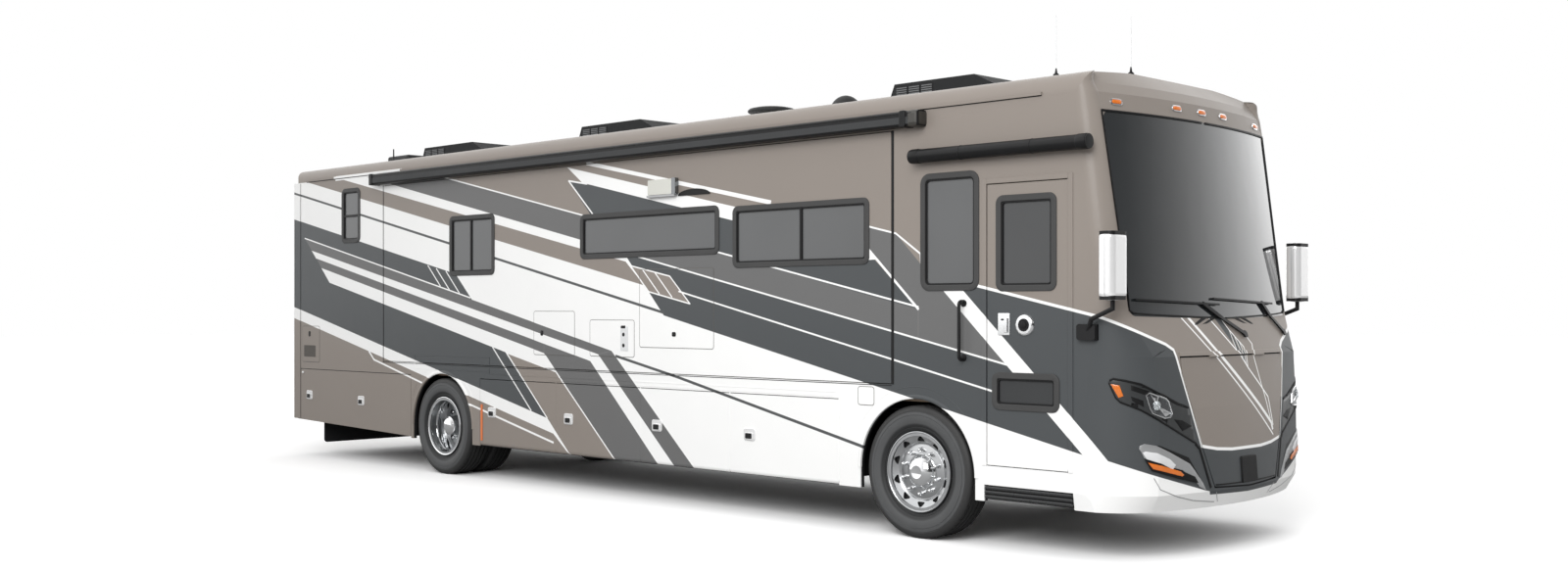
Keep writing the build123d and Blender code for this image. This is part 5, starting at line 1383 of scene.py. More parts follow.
def wheel_at(side, along, inset=0.0):
    """The matrix of a wheel's middle: X along, Y up, Z outward."""
    return Matrix(((1, 0, 0, at(along)), (0, 0, -side, -side * (TRACK_HALF - inset)),
                   (0, 1, 0, TYRE_RADIUS), (0, 0, 0, 1)))


# %% Tyres
for side_name, side in SIDES:
    tyre = placed(make_tyre(), wheel_at(side, 0.0))
    node = f"front_{side_name}_tyre"
    finish_piece(f"{node}_dressed", tyre, f"front_{side_name}_wheel", rubber, replaces=(node,))
    twins = bmesh.new()
    for inset in (0.0, TWIN_SPACING):
        join(twins, make_tyre(), wheel_at(side, -WHEELBASE, inset))
    node = f"rear_{side_name}_tyres"
    finish_piece(f"{node}_dressed", twins, f"rear_{side_name}_wheels", rubber, replaces=(node,))

# %% [markdown]
# The front wheel's disc is pressed outward and polished, with ten hand holes like rounded triangles. One tenth
# of it is spun, cut along the sides of its hole with planes, and the inside of the hole taken out. Its rim
# is then drawn inward for thickness, and ten turned copies make the disc. The nuts stand on a
# raised plate round a tall tapered hub cover. A black ring behind the holes is a painted shade of the wheel's
# inside.

# %% The front disc
HOLES = 10
DISC_SECTION = ((0.3085, 0.1165), (0.3075, 0.1205), (0.3020, 0.1215), (0.2960, 0.1180), (0.2910, 0.1080),
                (0.2850, 0.1020), (0.2760, 0.0985), (0.2600, 0.0920), (0.2400, 0.0840), (0.2260, 0.0780),
                (0.2180, 0.0720), (0.2130, 0.0660), (0.2080, 0.0655), (0.2040, 0.0680), (0.1000, 0.0680))
HOLE_CORNERS = ((0.282, 0.0), (0.230, 0.043), (0.230, -0.043))
HOLE_ROUND = 0.010
HUB_SECTION = ((0.134, 0.0675), (0.133, 0.076), (0.127, 0.080), (0.122, 0.092), (0.112, 0.110), (0.092, 0.127),
               (0.062, 0.140), (0.050, 0.1435), (0.046, 0.1415), (0.0, 0.1415))
HOLE_SHADE_SECTION = ((0.205, 0.060), (0.286, 0.072))
NUT_CIRCLE = 0.1680
FRONT_PLATE_OUT = 0.0675
NUT_SECTION = ((0.0185, 0.0), (0.0185, 0.008), (0.0155, 0.011), (0.0150, 0.036), (0.0125, 0.045),
               (0.0070, 0.050), (0.0, 0.0515))


def hole_planes():
    """Points and outward directions, in the wheel's plane, of a rounded triangle's sides."""
    middle = Vector((sum(x for x, _ in HOLE_CORNERS) / 3, 0.0))
    planes = []
    for index, corner in enumerate(HOLE_CORNERS):
        start, end = Vector(corner), Vector(HOLE_CORNERS[(index + 1) % 3])
        across = Vector((end.y - start.y, start.x - end.x)).normalized()
        if across.dot(start - middle) < 0:
            across = -across
        planes.append((start, across))
        outward = (start - middle).normalized()
        for swing in (-0.5, 0.0, 0.5):
            turned = Vector((outward.x * math.cos(swing) - outward.y * math.sin(swing),
                             outward.x * math.sin(swing) + outward.y * math.cos(swing)))
            planes.append((start - outward * HOLE_ROUND, turned))
    return planes


def make_front_disc():
    """The polished disc with its hand holes."""
    sector = bmesh.new()
    verts = [sector.verts.new((radius, 0.0, out)) for radius, out in DISC_SECTION]
    edges = [sector.edges.new(pair) for pair in zip(verts, verts[1:])]
    step = 2 * math.pi / HOLES
    sector_turn = Matrix.Rotation(-step / 2, 4, "Z")
    bmesh.ops.transform(sector, matrix=sector_turn, verts=sector.verts)
    bmesh.ops.spin(sector, geom=verts + edges, cent=(0, 0, 0), axis=(0, 0, 1), angle=step, steps=8,
                   use_merge=False)
    planes = hole_planes()
    for point, across in planes:
        near = [face for face in sector.faces if 0.22 < face.calc_center_median().xy.length < 0.29]
        geometry = list({item for face in near for item in (face, *face.edges, *face.verts)})
        bmesh.ops.bisect_plane(sector, geom=geometry, plane_co=(*point, 0.0), plane_no=(*across, 0.0),
                               dist=0.00001)
    inside = []
    for face in sector.faces:
        middle = face.calc_center_median().xy
        if all((middle - point).dot(across) < 0 for point, across in planes):
            inside.append(face)
    edge_use = {}
    for face in inside:
        for edge in face.edges:
            edge_use[edge] = edge_use.get(edge, 0) + 1
    border = [edge for edge, uses in edge_use.items() if uses == 1]
    bmesh.ops.delete(sector, geom=inside, context="FACES_ONLY")
    border = [edge for edge in border if edge.is_valid]
    grown = bmesh.ops.extrude_edge_only(sector, edges=border)
    moved = [item for item in grown["geom"] if isinstance(item, bmesh.types.BMVert)]
    bmesh.ops.translate(sector, vec=(0, 0, -0.014), verts=moved)
    bmesh.ops.delete(sector, geom=[edge for edge in sector.edges if not edge.link_faces], context="EDGES")
    whole = bmesh.new()
    for index in range(HOLES):
        join(whole, sector.copy(), Matrix.Rotation(step * index, 4, "Z"))
    sector.free()
    bmesh.ops.remove_doubles(whole, verts=whole.verts, dist=0.00005)
    return whole


def ring_of_nuts(out):
    """The ten wheel nuts, standing on a plate that lies so far out."""
    nuts = bmesh.new()
    for index in range(HOLES):
        turn = 2 * math.pi * (index + 0.5) / HOLES
        spot = Matrix.Translation((NUT_CIRCLE * math.cos(turn), NUT_CIRCLE * math.sin(turn), out))
        join(nuts, spun(NUT_SECTION, 12), spot)
    return nuts


for side_name, side in SIDES:
    body = f"front_{side_name}_wheel"
    place = wheel_at(side, 0.0)
    disc_mesh = placed(make_front_disc(), place @ Matrix.Rotation(math.pi / HOLES, 4, "Z"))
    finish_piece(f"{body}_disc", disc_mesh, body, aluminium)
    # a black ring behind the hand holes: painted shade of the hollow inside the wheel
    hole_shade = placed(spun(HOLE_SHADE_SECTION, 48), place)
    finish_piece(f"{body}_backing", hole_shade, body, chassis_black)
    bright = placed(spun(HUB_SECTION, 40), place)
    join(bright, ring_of_nuts(FRONT_PLATE_OUT), place)
    finish_piece(f"front_{side_name}_hub_and_nuts", bright, body, chrome)

# %% [markdown]
# The rear wheels are the same wheel turned round, so their disc lies deep. The solids have the barrel and the
# disc; the pieces add the rolled lip, two steps in the barrel, the nuts and the hub's cap.

# %% Rear wheel details
LIP_SECTION = ((0.3088, 0.1155), (0.3080, 0.1195), (0.3035, 0.1215), (0.2980, 0.1200), (0.2900, 0.1120),
               (0.2780, 0.1030), (0.2735, 0.0950))
STEP_SECTION = ((0.2738, 0.040), (0.2690, 0.034), (0.2660, 0.020), (0.2660, -0.060), (0.2690, -0.074),
                (0.2738, -0.080))
REAR_DISC_OUT = -0.098
REAR_HUB_SECTION = ((0.100, 0.054), (0.098, 0.062), (0.088, 0.068), (0.080, 0.080), (0.060, 0.088),
                    (0.0, 0.090))
for side_name, side in SIDES:
    place = wheel_at(side, -WHEELBASE)
    bright = placed(spun(LIP_SECTION, 72), place)
    join(bright, spun(STEP_SECTION, 72), place)
    join(bright, spun(REAR_HUB_SECTION, 40), place)
    join(bright, ring_of_nuts(REAR_DISC_OUT), place)
    finish_piece(f"rear_{side_name}_wheel_details", bright, f"rear_{side_name}_wheels", chrome)

# %% [markdown]
# ## Awnings and roof gear
# The rolled awnings get end caps, and the long ones a grey face strip, a seam and, ahead of the front cap, a
# dark taupe block that is a painted shadow of the awning's end on the wall. The air units are moulded shrouds.
# Each gets a grille at the rear of both its sides, made as three panels of level slats over a dark recess.

# %% Awning faces and caps
LONG_AWNING = (-7.744, 0.100, 3.124, 3.240)
DOOR_AWNING = (0.010, 1.580, 2.892, 0.052)
AWNING_PROUD = 0.105
END_SHADOW_WIDE = 0.118
awning_grey = make_finish("awning_grey", rgb(56, 57, 58), 0.6, 200.0, 0.0004)
# dark taupe, the colour of a painted shadow on the wall
painted_awning_shadow = make_finish("painted_awning_shadow", rgb(52, 50, 46), 0.45, 260.0, 0.0002, coat=0.1, drift=0.03)
for side_name, side in SIDES:
    low_x, high_x, low_z, high_z = LONG_AWNING
    middle_x, long = (low_x + high_x) / 2, high_x - low_x - 0.12
    face = placed(slab(long, 0.052, 0.006, 0.004, 0.0015),
                  on_side(side, middle_x, low_z + 0.044, AWNING_PROUD - 0.001))
    finish_piece(f"{side_name}_awning_face", face, "coach", awning_grey)
    caps = bmesh.new()
    for end in (low_x + 0.028, high_x - 0.148):
        join(caps, slab(0.062, high_z - low_z + 0.010, 0.014, AWNING_PROUD + 0.008, 0.006),
             on_side(side, end, (low_z + high_z) / 2))
    # a dark taupe block ahead of the front cap: painted shadow of the awning's end on the wall
    cover = placed(slab(END_SHADOW_WIDE, high_z - low_z + 0.012, 0.030, AWNING_PROUD + 0.006, 0.030, 5),
                   on_side(side, high_x - END_SHADOW_WIDE / 2 + 0.004, (low_z + high_z) / 2))
    finish_piece(f"{side_name}_awning_end_shadow", cover, "coach", painted_awning_shadow)
    join(caps, slab(long, 0.007, 0, 0.006, 0.002), on_side(side, middle_x, low_z + 0.098, AWNING_PROUD - 0.001))
    finish_piece(f"{side_name}_awning_caps", caps, "coach", awning_gloss)

low_x, high_x, height, radius = DOOR_AWNING
tube = bmesh.new()
along_x = Matrix(((0, 0, 1, 0), (0, 1, 0, 0), (-1, 0, 0, 0), (0, 0, 0, 1)))
END_CAP = ((0.0, 0.0), (radius * 0.8, 0.002), (radius + 0.002, 0.012), (radius + 0.004, 0.024),
           (radius + 0.004, 0.085), (radius + 0.001, 0.092))
SEAM_RING = ((radius, 0.0), (radius + 0.002, 0.002), (radius + 0.002, 0.006), (radius, 0.008))
tube_y = -(HALF + 0.016 + radius)
for end, turn in ((low_x, 1), (high_x, -1)):
    cap = spun(END_CAP, 32)
    if turn < 0:
        bmesh.ops.scale(cap, vec=(1, 1, -1), verts=cap.verts)
    join(tube, cap, Matrix.Translation((at(end) - turn * 0.003, tube_y, height)) @ along_x)
for seam in (0.30, 0.70):
    ring_x = low_x + (high_x - low_x) * seam
    join(tube, spun(SEAM_RING, 32), Matrix.Translation((at(ring_x), tube_y, height)) @ along_x)
finish_piece("door_awning_caps", tube, "coach", awning_gloss)

# %% Air unit grilles
UNIT_TAILS = (-1.060, -5.330, -8.320)
UNIT_HALF = 0.35
UNIT_TOP = 3.65
SLATS = 6
SLAT_PITCH = 0.018
GRILLE_PANELS = 3
GRILLE_PITCH = 0.135
GRILLE_TALL = 0.122
GRILLE_FROM = 0.075
GRILLE_DROP = 0.085
unit_grey = make_finish("unit_grey", rgb(104, 105, 106), 0.6, 180.0, 0.0006)
for number, tail in enumerate(UNIT_TAILS, start=1):
    plate, slats = bmesh.new(), bmesh.new()
    for side in (1, -1):
        for panel in range(GRILLE_PANELS):
            middle_x = tail + GRILLE_FROM + GRILLE_PITCH * (panel + 0.5)
            place = on_side(side, middle_x, UNIT_TOP - GRILLE_DROP, UNIT_HALF - HALF)
            join(plate, slab(GRILLE_PITCH - 0.012, GRILLE_TALL, 0.006, 0.003, 0.001), place)
            for index in range(SLATS):
                shift = Matrix.Translation((0, SLAT_PITCH * (index - (SLATS - 1) / 2), 0.002))
                join(slats, slab(GRILLE_PITCH - 0.024, 0.008, 0, 0.006, 0), place @ shift)
    join(plate, slab(0.050, UNIT_HALF * 1.6, 0.010, 0.014, 0.006),
         Matrix.Translation((at(tail + 0.10 + GRILLE_PANELS * GRILLE_PITCH), 0.0, UNIT_TOP - 0.002)))
    finish_piece(f"air_unit_{number}_recess", plate, "coach", trim_rubber)
    finish_piece(f"air_unit_{number}_slats", slats, "coach", unit_grey)

# %% [markdown]
# The dish is a lens-shaped cover on a short stem and the second aerial a tall dome with a foot ring. Both are
# sections spun about their own upright line. A vent's lid and a short stub stand near the tail, and two pale
# whips, each on a ball on a bright foot, near the nose. All of them take the place of the plainer solids.

# %% Dish, dome, vent and whips
ROOF_Z = 3.450
FOOT_Z = 3.4505
GEAR_Y = -0.300
DISH_SECTION = ((0.0, 3.604), (0.060, 3.603), (0.150, 3.596), (0.205, 3.584), (0.221, 3.572), (0.225, 3.560),
                (0.219, 3.550), (0.180, 3.545), (0.076, 3.543), (0.062, 3.530), (0.060, 3.470), (0.074, FOOT_Z))
DOME_RADIUS, DOME_RISE = 0.150, 0.170
DOME_CURVE = [(DOME_RADIUS * math.sin(step * math.pi / 20), FOOT_Z + DOME_RISE * math.cos(step * math.pi / 20))
              for step in range(10)]
DOME_SECTION = DOME_CURVE + [(DOME_RADIUS, 3.470), (0.172, 3.466), (0.180, FOOT_Z)]
# place, width and height of the tip
WHIPS = ((0.760, -0.540, 3.970), (1.200, -0.200, 3.950))
FOOT_SECTION = ((0.042, -0.010), (0.042, 0.010), (0.034, 0.020), (0.020, 0.026), (0.0, 0.028))
BALL_UP, NECK_UP, ROD_UP = 0.060, 0.080, 0.115
roof_gear = placed(spun(DISH_SECTION, 56), Matrix.Translation((at(-2.515), GEAR_Y, 0.0)))
join(roof_gear, spun(DOME_SECTION, 48), Matrix.Translation((at(-1.600), GEAR_Y, 0.0)))
vent = rounded_box((0.470, 0.440, 0.130), 0.030)
join(roof_gear, vent, Matrix.Translation((at(-9.080), 0.0, ROOF_Z + 0.115)))
stub = disc(0.010, 0.200, 0.002, sides=12, top_radius=0.007)
join(roof_gear, stub, Matrix.Translation((at(-8.620), -0.55, ROOF_Z)))
finish_piece("roof_gear", roof_gear, "coach", aerial_finish, replaces=("roof_aerials",))
balls, bases, rods = bmesh.new(), bmesh.new(), bmesh.new()
roof_skin = skin_tree("roof_shell", "front_cap")
for along, y, top in WHIPS:
    foot = roof_skin.ray_cast(Vector((at(along), y, 5.0)), Vector((0, 0, -1)))[0]
    join(bases, spun(FOOT_SECTION, 24), Matrix.Translation(foot))
    bmesh.ops.create_uvsphere(balls, u_segments=16, v_segments=10, radius=0.026,
                              matrix=Matrix.Translation(foot + Vector((0, 0, BALL_UP))))
    neck = disc(0.011, 0.040, 0.0, sides=12, top_radius=0.005)
    join(balls, neck, Matrix.Translation(foot + Vector((0, 0, NECK_UP))))
    rod = disc(0.0045, top - foot.z - ROD_UP, 0.0, sides=10, top_radius=0.0030)
    join(rods, rod, Matrix.Translation(foot + Vector((0, 0, ROD_UP))))
finish_piece("whip_balls", balls, "coach", trim_rubber)
finish_piece("whip_rods", rods, "coach", pale_trim, ("roof_aerials",))
finish_piece("whip_bases", bases, "coach", chrome_shell)

# %% [markdown]
# ## Seams and fittings of the side
# A slide-out room closes against the wall with a rubber flange that shows as a dark line round it, and a black
# strip under the gutter rail is a painted shadow of the rail. The service hatches carry a lock, a cable port or a
# lamp, and a lighter line follows each wheel arch where the panel is pressed. Each row of the tables is one such
# fitting, as low and high place and low and high height.

# %% Seams of the side, and the painted shadow under the gutter rail
SIDE_SEAMS = (
    # front, rear and lower edge of the room, then the corner posts' seam
    (-0.242, -0.218, 1.164, 3.116), (-7.628, -7.618, 1.150, 3.116), (-7.616, -0.240, 1.152, 1.158),
    (-9.493, -9.486, 0.432, 3.245),
)
SKIRT_SEAM = (-9.484, -7.060, 1.031, 1.037)
# a black strip just under the gutter rail: painted shadow of the rail
RAIL_SHADOW_LINE = (-9.340, 1.140, 3.247, 3.2535)
for side_name, side in SIDES:
    seams_and_rail_shadow = bmesh.new()
    for low_x, high_x, low_z, high_z in (*SIDE_SEAMS, SKIRT_SEAM, RAIL_SHADOW_LINE):
        join(seams_and_rail_shadow, slab(high_x - low_x, high_z - low_z, 0, 0.0016, 0),
             skin_box(side, low_x, high_x, low_z, high_z))
    finish_piece(f"{side_name}_seams", seams_and_rail_shadow, "coach", trim_rubber)

# %% Fittings, as body, finish, low and high place, low and high height, corner and depth
pewter = make_finish("pewter", rgb(84, 80, 76), 0.6, 260.0, 0.0003)
amber_strip = make_finish("amber_strip", rgb(214, 112, 52), 0.35, 300.0, 0.0002, coat=0.3)
porch_lens = make_glass("porch_lens", rgb(214, 214, 206), 0.30, roughness=0.16)
FITTINGS = (
    ("fill_lock", "coach", trim_rubber, -9.292, -9.248, 1.418, 1.484, 0.020, 0.004),
    ("fill_port", "coach", pewter, -9.400, -9.130, 1.180, 1.315, 0.010, 0.003),
    ("round_lamp", "engine_side_door", chrome_shell, -9.434, -9.406, 0.976, 1.004, 0.0135, 0.010),
    ("inlet_lock", "slide_room", trim_rubber, -4.720, -4.680, 1.485, 1.535, 0.012, 0.005),
    ("cable_plate", "slide_room", pale_trim, -3.500, -3.390, 1.360, 1.585, 0.010, 0.004),
    ("cable_slot", "slide_room", trim_rubber, -3.492, -3.428, 1.566, 1.592, 0.008, 0.006),
    ("cable_port_1", "slide_room", trim_rubber, -3.473, -3.437, 1.492, 1.528, 0.017, 0.006),
    ("cable_port_2", "slide_room", trim_rubber, -3.473, -3.437, 1.392, 1.428, 0.017, 0.006),
    ("fridge_lock", "slide_room", trim_rubber, -2.785, -2.735, 1.500, 1.540, 0.012, 0.005),
    ("reflector", "bay_door_1", amber_strip, -5.738, -5.704, 0.400, 0.770, 0.004, 0.003),
    ("porch_base", "slide_room", silver_trim, -3.090, -2.715, 2.742, 2.762, 0.006, 0.040),
    ("porch_lamp", "slide_room", porch_lens, -3.080, -2.740, 2.764, 2.900, 0.012, 0.034),
    ("porch_end", "slide_room", dark_chrome_and_shade, -2.752, -2.700, 2.758, 2.905, 0.010, 0.042),
)
for name, kind, finish, low_x, high_x, low_z, high_z, corner, depth in FITTINGS:
    for side_name, side in SIDES:
        part = placed(slab(high_x - low_x, high_z - low_z, corner, depth, min(0.002, depth / 3)),
                      skin_box(side, low_x, high_x, low_z, high_z, 0.002))
        finish_piece(f"{side_name}_{name}", part, body_for(kind, side_name), finish)

# %% Half-moon vent, and the pressed line outside each arch
MOON_AT = (-2.495, 2.742)
MOON_WIDE, MOON_TALL = 0.205, 0.055
MOON_STEPS = 16
MOON_ARC = [(MOON_WIDE * math.cos(math.pi * step / MOON_STEPS),
             MOON_TALL * math.sin(math.pi * step / MOON_STEPS)) for step in range(MOON_STEPS + 1)]
BROW_OUT = 0.085
BROW_FROM, BROW_TURN = math.radians(28), math.radians(124)
for side_name, side in SIDES:
    vent = outline_face(MOON_ARC)
    raise_face(vent, 0.012, 0.003)
    moon = placed(vent, on_side(side, *MOON_AT, 0.001))
    finish_piece(f"{side_name}_half_moon", moon, f"{side_name}_slide_room", trim_rubber)
    brows = bmesh.new()
    for place in (0.0, -WHEELBASE):
        radius = ARCH_RADIUS + BROW_OUT
        brow = bmesh.new()
        rim = [brow.verts.new((radius, 0.0, 0.0)), brow.verts.new((radius + 0.003, 0.0, 0.0022)),
               brow.verts.new((radius + 0.006, 0.0, 0.0))]
        edges = [brow.edges.new(pair) for pair in zip(rim, rim[1:])]
        bmesh.ops.transform(brow, matrix=Matrix.Rotation(BROW_FROM, 4, "Z"), verts=brow.verts)
        bmesh.ops.spin(brow, geom=rim + edges, cent=(0, 0, 0), axis=(0, 0, 1), angle=BROW_TURN, steps=40,
                       use_merge=False)
        join(brows, brow, on_side(side, place, TYRE_RADIUS))
    finish_piece(f"{side_name}_arch_brows", brows, "coach", coach_paint)

# %% Grab handle feet
GRAB_X = 0.455
feet = bmesh.new()
for height in (1.385, 1.786):
    join(feet, disc(0.026, 0.010, 0.003, sides=24), on_side(1, GRAB_X, height))
finish_piece("grab_handle_feet", feet, "coach", trim_rubber)

# %% [markdown]
# ## Rear corner posts
# The rear wall is moulded between two upright corner posts with a tighter bend than the cap's own. A post is
# its plan view, with a short arc at the corner, raised to the height of the body.

# %% Rear corner posts
POST_LOW, POST_HIGH = 0.436, 3.250
POST_FRONT, POST_BACK = -9.494, -9.668
POST_BEND = 0.035
POST_PROUD = 0.0035
for side_name, side in SIDES:
    outer = HALF + POST_PROUD
    corner = [(POST_BACK + POST_BEND - POST_BEND * math.sin(step * math.pi / 16),
               outer - POST_BEND + POST_BEND * math.cos(step * math.pi / 16)) for step in range(9)]
    plan = [(POST_FRONT, outer - 0.012), (POST_FRONT, outer), *corner, (POST_BACK, outer - 0.120),
            (POST_BACK + 0.05, outer - 0.120)]
    post = outline_face(plan)
    raise_face(post, POST_HIGH - POST_LOW, 0)
    post_at = Matrix(((1, 0, 0, AXLE_X), (0, -side, 0, 0), (0, 0, 1, POST_LOW), (0, 0, 0, 1)))
    finish_piece(f"{side_name}_corner_post", placed(post, post_at), "coach", coach_paint)

# %% [markdown]
# ## The rear
# The engine lid breathes through a bank of level louvres, with a bare plate in a recess below. The tall lamps
# are three lenses, red, amber and white, in a bright rim, and five red markers sit at the top of the cap.

# %% Rear pieces
rear_skin = skin_tree("rear_cap", "engine_lid", "rear_lamps")


def on_rear(y, z, lift=0.0):
    """A matrix that puts a flat piece on the rear's skin at a width and height."""
    hit, normal, _, _ = rear_skin.ray_cast(Vector((at(-12.0), y, z)), Vector((1, 0, 0)))
    return upright_on(hit, -normal if normal.x > 0 else normal, lift)


LOUVRES = 9
LOUVRE_PITCH = 0.042
LOUVRE_HALF = 0.55
LOUVRE_TOP = 1.395
louvre_bed, louvres = bmesh.new(), bmesh.new()
for index in range(LOUVRES):
    height = LOUVRE_TOP - LOUVRE_PITCH * index
    for y in (-LOUVRE_HALF / 2, LOUVRE_HALF / 2):
        join(louvre_bed, slab(LOUVRE_HALF - 0.010, LOUVRE_PITCH - 0.008, 0, 0.002, 0), on_rear(y, height))
        join(louvres, slab(LOUVRE_HALF - 0.030, 0.016, 0, 0.009, 0.003), on_rear(y, height + 0.006))
finish_piece("lid_louvre_bed", louvre_bed, "engine_lid", trim_rubber)
finish_piece("lid_louvres", louvres, "engine_lid", coach_paint)

plate_white = make_finish("plate_white", rgb(226, 226, 222), 0.4, 320.0, 0.0002, coat=0.2, drift=0.03)
PLATE_AT = (0.0, 0.840)
plate_bed = placed(hoop(0.360, 0.205, 0.014, 0.020, 0.010, 0.003), on_rear(*PLATE_AT))
plate = placed(slab(0.305, 0.152, 0.008, 0.004, 0.001), on_rear(*PLATE_AT))
latch_pair = bmesh.new()
for y in (-0.50, 0.50):
    join(latch_pair, slab(0.110, 0.060, 0.012, 0.010, 0.004), on_rear(y, 0.720))
finish_piece("plate_frame", plate_bed, "engine_lid", trim_rubber)
finish_piece("plate_bare", plate, "engine_lid", plate_white)
finish_piece("lid_latches", latch_pair, "engine_lid", chrome)

LAMP_AT = 1.010
REAR_MARKERS_Y = (-1.02, -0.30, 0.0, 0.30, 1.02)
REAR_MARKERS_Z = 3.150
# height of the middle, tall, lens
LENS_ROWS = ((1.455, 0.180, red_lens), (1.285, 0.140, amber_lens), (1.110, 0.180, clear_lens))
lamp_rims = bmesh.new()
for side in (1, -1):
    join(lamp_rims, hoop(0.140, 0.570, 0.036, 0.012, 0.012, 0.004), on_rear(side * LAMP_AT, 1.285))
finish_piece("rear_lamp_rims", lamp_rims, "coach", chrome)
for number, (height, tall, lens) in enumerate(LENS_ROWS, start=1):
    lenses = bmesh.new()
    for side in (1, -1):
        join(lenses, slab(0.104, tall - 0.010, 0.018, 0.012, 0.005), on_rear(side * LAMP_AT, height))
    finish_piece(f"rear_lamp_lens_{number}", lenses, "coach", lens)
top_rims, top_lenses = bmesh.new(), bmesh.new()
for y in REAR_MARKERS_Y:
    join(top_rims, slab(*MARKER_RIM, 0.010, 0.004), on_rear(y, REAR_MARKERS_Z))
    join(top_lenses, slab(*MARKER_LENS, 0.008, 0.003), on_rear(y, REAR_MARKERS_Z, 0.007))
finish_piece("rear_marker_rims", top_rims, "coach", chrome)
finish_piece("rear_marker_lenses", top_lenses, "coach", red_lens)

# %% [markdown]
# ## The two cab seats
# A captain's chair is a stack of soft parts: a seat pad, a back pad and a head pad, each stuffed into a sewn
# cover, with two armrests on a swivel base. A pad starts as a rounded box, is made even by a voxel remesh, and
# is blown up by the cloth solver under a little pressure, as stuffing does to a cover. How far a point may move
# is capped, so that the pad keeps the room that the plain solid has. The sewn channels are pressed in last.

# %% The seats' cloth
def make_fabric():
    """Woven taupe cloth: two crossed waves for the yarns, a slow drift for the dye."""
    material, tree, shader, place = open_material("seat_fabric")
    drift = noise(tree, place, 4.0)
    waves = []
    for axis in ("X", "Z"):
        wave = add_node(tree, "ShaderNodeTexWave", {"Vector": place, "Scale": 190.0, "Distortion": 0.6},
                        wave_type="BANDS", bands_direction=axis)
        waves.append(wave.outputs["Fac"])
    weave = sums(tree, "MULTIPLY", waves[0], waves[1])
    dyed = blend(tree, drift, rgb(112, 104, 96), rgb(128, 120, 111))
    yarn = spread(tree, weave, 0.0, 0.35)
    tree.links.new(blend(tree, yarn, dyed, rgb(84, 78, 72)), shader.inputs["Base Color"])
    shader.inputs["Roughness"].default_value = 0.85
    shader.inputs["Sheen Weight"].default_value = 0.35
    bump(tree, shader, weave, 0.5, 0.0015)
    return material


seat_fabric = make_fabric()

# %% Blowing up a pad
VOXEL = 0.013
PAD_FRAMES = 14
PAD_PRESSURE = 4.0
PAD_REACH = 0.012
CHANNELS = (-0.10, 0.0, 0.10)
CHANNEL_DEEP = 0.007
CHANNEL_HALF = 0.010


def swell(mesh, name):
    """A pad's shape after a voxel remesh and a short cloth run under pressure, with its reach capped."""
    data = bpy.data.meshes.new(name)
    mesh.to_mesh(data)
    mesh.free()
    trial = bpy.data.objects.new(name, data)
    bpy.context.scene.collection.objects.link(trial)
    remesh = trial.modifiers.new("remesh", "REMESH")
    remesh.mode = "VOXEL"
    remesh.voxel_size = VOXEL
    even = bpy.data.meshes.new_from_object(trial.evaluated_get(bpy.context.evaluated_depsgraph_get()))
    trial.modifiers.clear()
    trial.data = even
    rest = [vert.co.copy() for vert in even.vertices]
    cloth = trial.modifiers.new("cloth", "CLOTH")
    cloth.settings.use_pressure = True
    cloth.settings.uniform_pressure_force = PAD_PRESSURE
    cloth.settings.effector_weights.gravity = 0.0
    cloth.settings.quality = 5
    cloth.point_cache.frame_start, cloth.point_cache.frame_end = 1, PAD_FRAMES
    for step in range(1, PAD_FRAMES + 1):
        bpy.context.scene.frame_set(step)
    blown = bpy.data.meshes.new_from_object(trial.evaluated_get(bpy.context.evaluated_depsgraph_get()))
    trial.modifiers.clear()
    trial.data = blown
    bpy.context.scene.frame_set(1)
    shape = bmesh.new()
    shape.from_mesh(trial.data)
    for vert, start in zip(shape.verts, rest):
        moved = vert.co - start
        if moved.length > PAD_REACH:
            vert.co = start + moved.normalized() * PAD_REACH
    bpy.data.objects.remove(trial)
    return shape


def sew(shape, out_axis):
    """Presses sewn channels into the pad's outer face, side by side across the coach."""
    top = max(vert.co[out_axis] for vert in shape.verts)
    for vert in shape.verts:
        depth = sum(math.exp(-((vert.co.y - line) / CHANNEL_HALF) ** 2) for line in CHANNELS)
        share = max(0.0, min(1.0, (vert.co[out_axis] - top + 0.06) / 0.04))
        vert.co[out_axis] -= CHANNEL_DEEP * depth * share
    return shape


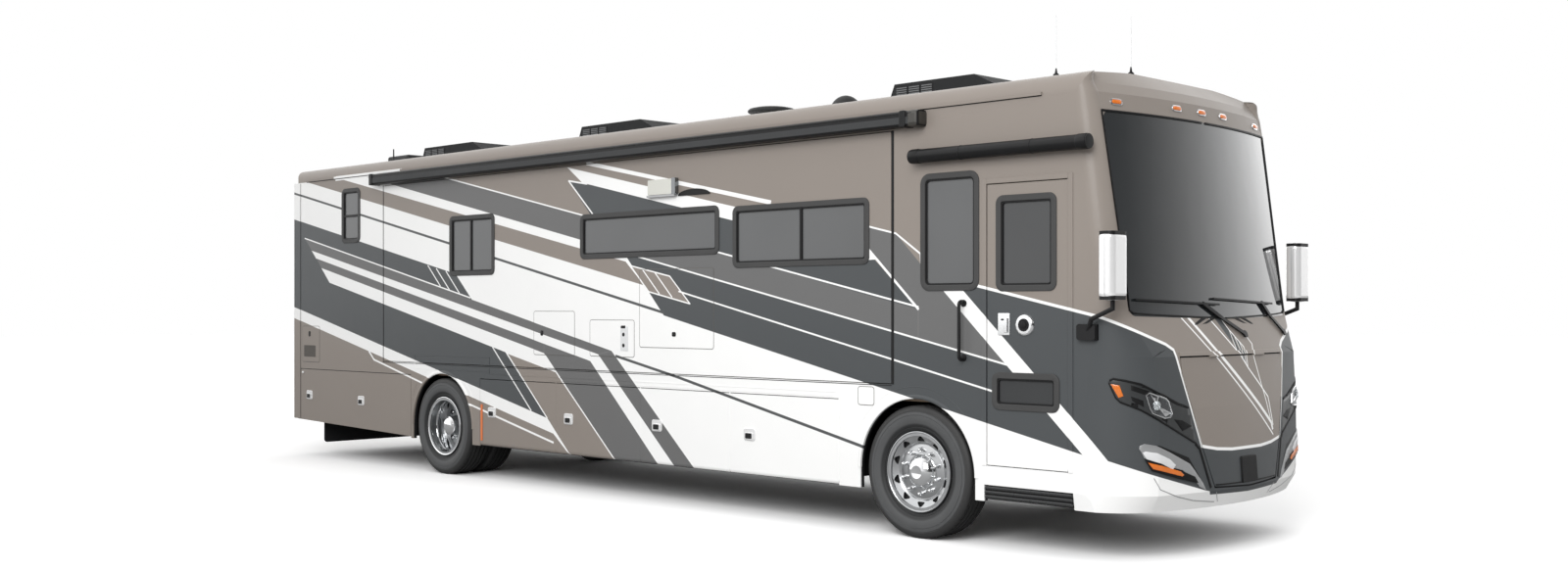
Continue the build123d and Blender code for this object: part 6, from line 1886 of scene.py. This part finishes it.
# %% Building both seats
SEATS = (("driver", 0.330, 0.700), ("passenger", 0.250, -0.640))
SEAT_FLOOR = 1.100
BACK_LEAN = math.atan2(0.13, 0.66)
seat_pad = sew(swell(rounded_box((0.410, 0.480, 0.100), 0.036), "seat_pad"), 2)
back_pad = sew(swell(rounded_box((0.090, 0.470, 0.560), 0.034), "back_pad"), 0)
head_pad = swell(rounded_box((0.080, 0.270, 0.130), 0.030), "head_pad")
for seat_name, along, middle_y in SEATS:
    origin = Matrix.Translation((at(along), middle_y, SEAT_FLOOR))
    lean = origin @ Matrix.Translation((-0.215, 0, 0.46)) @ Matrix.Rotation(-BACK_LEAN, 4, "Y")
    parts = (
        ("seat_pad", seat_pad, origin @ Matrix.Translation((0.045, 0, 0.356))),
        ("back_pad", back_pad, lean @ Matrix.Translation((0.0, 0, 0.245))),
        ("head_pad", head_pad, lean @ Matrix.Translation((-0.004, 0, 0.545))),
    )
    for part_name, source, place in parts:
        pad = placed(source.copy(), place)
        piece = finish_piece(f"{seat_name}_{part_name}", pad, "coach", seat_fabric, replaces=("cab_seats",))
    base = placed(slab(0.360, 0.360, 0.030, 0.030, 0.006), origin)
    stem = disc(0.120, 0.220, 0.004, sides=32, top_radius=0.100)
    join(base, stem, origin @ Matrix.Translation((0, 0, 0.028)))
    join(base, slab(0.400, 0.440, 0.030, 0.050, 0.012), origin @ Matrix.Translation((0.035, 0, 0.248)))
    join(base, slab(0.020, 0.420, 0.006, 0.520, 0.006), origin @ Matrix.Translation((-0.225, 0, 0.30))
         @ Matrix.Rotation(-BACK_LEAN, 4, "Y") @ Matrix.Translation((-0.030, 0, 0.02)))
    finish_piece(f"{seat_name}_seat_base", base, "coach", cab_trim)
    arms = bmesh.new()
    for y in (-0.226, 0.226):
        join(arms, rounded_box((0.300, 0.056, 0.056), 0.022, 4), origin @ Matrix.Translation((-0.02, y, 0.590)))
        join(arms, rounded_box((0.050, 0.030, 0.200), 0.010, 3), origin @ Matrix.Translation((-0.15, y, 0.480)))
    finish_piece(f"{seat_name}_armrests", arms, "coach", cab_trim)
for source in (seat_pad, back_pad, head_pad):
    source.free()
print("seats", len(SEATS))
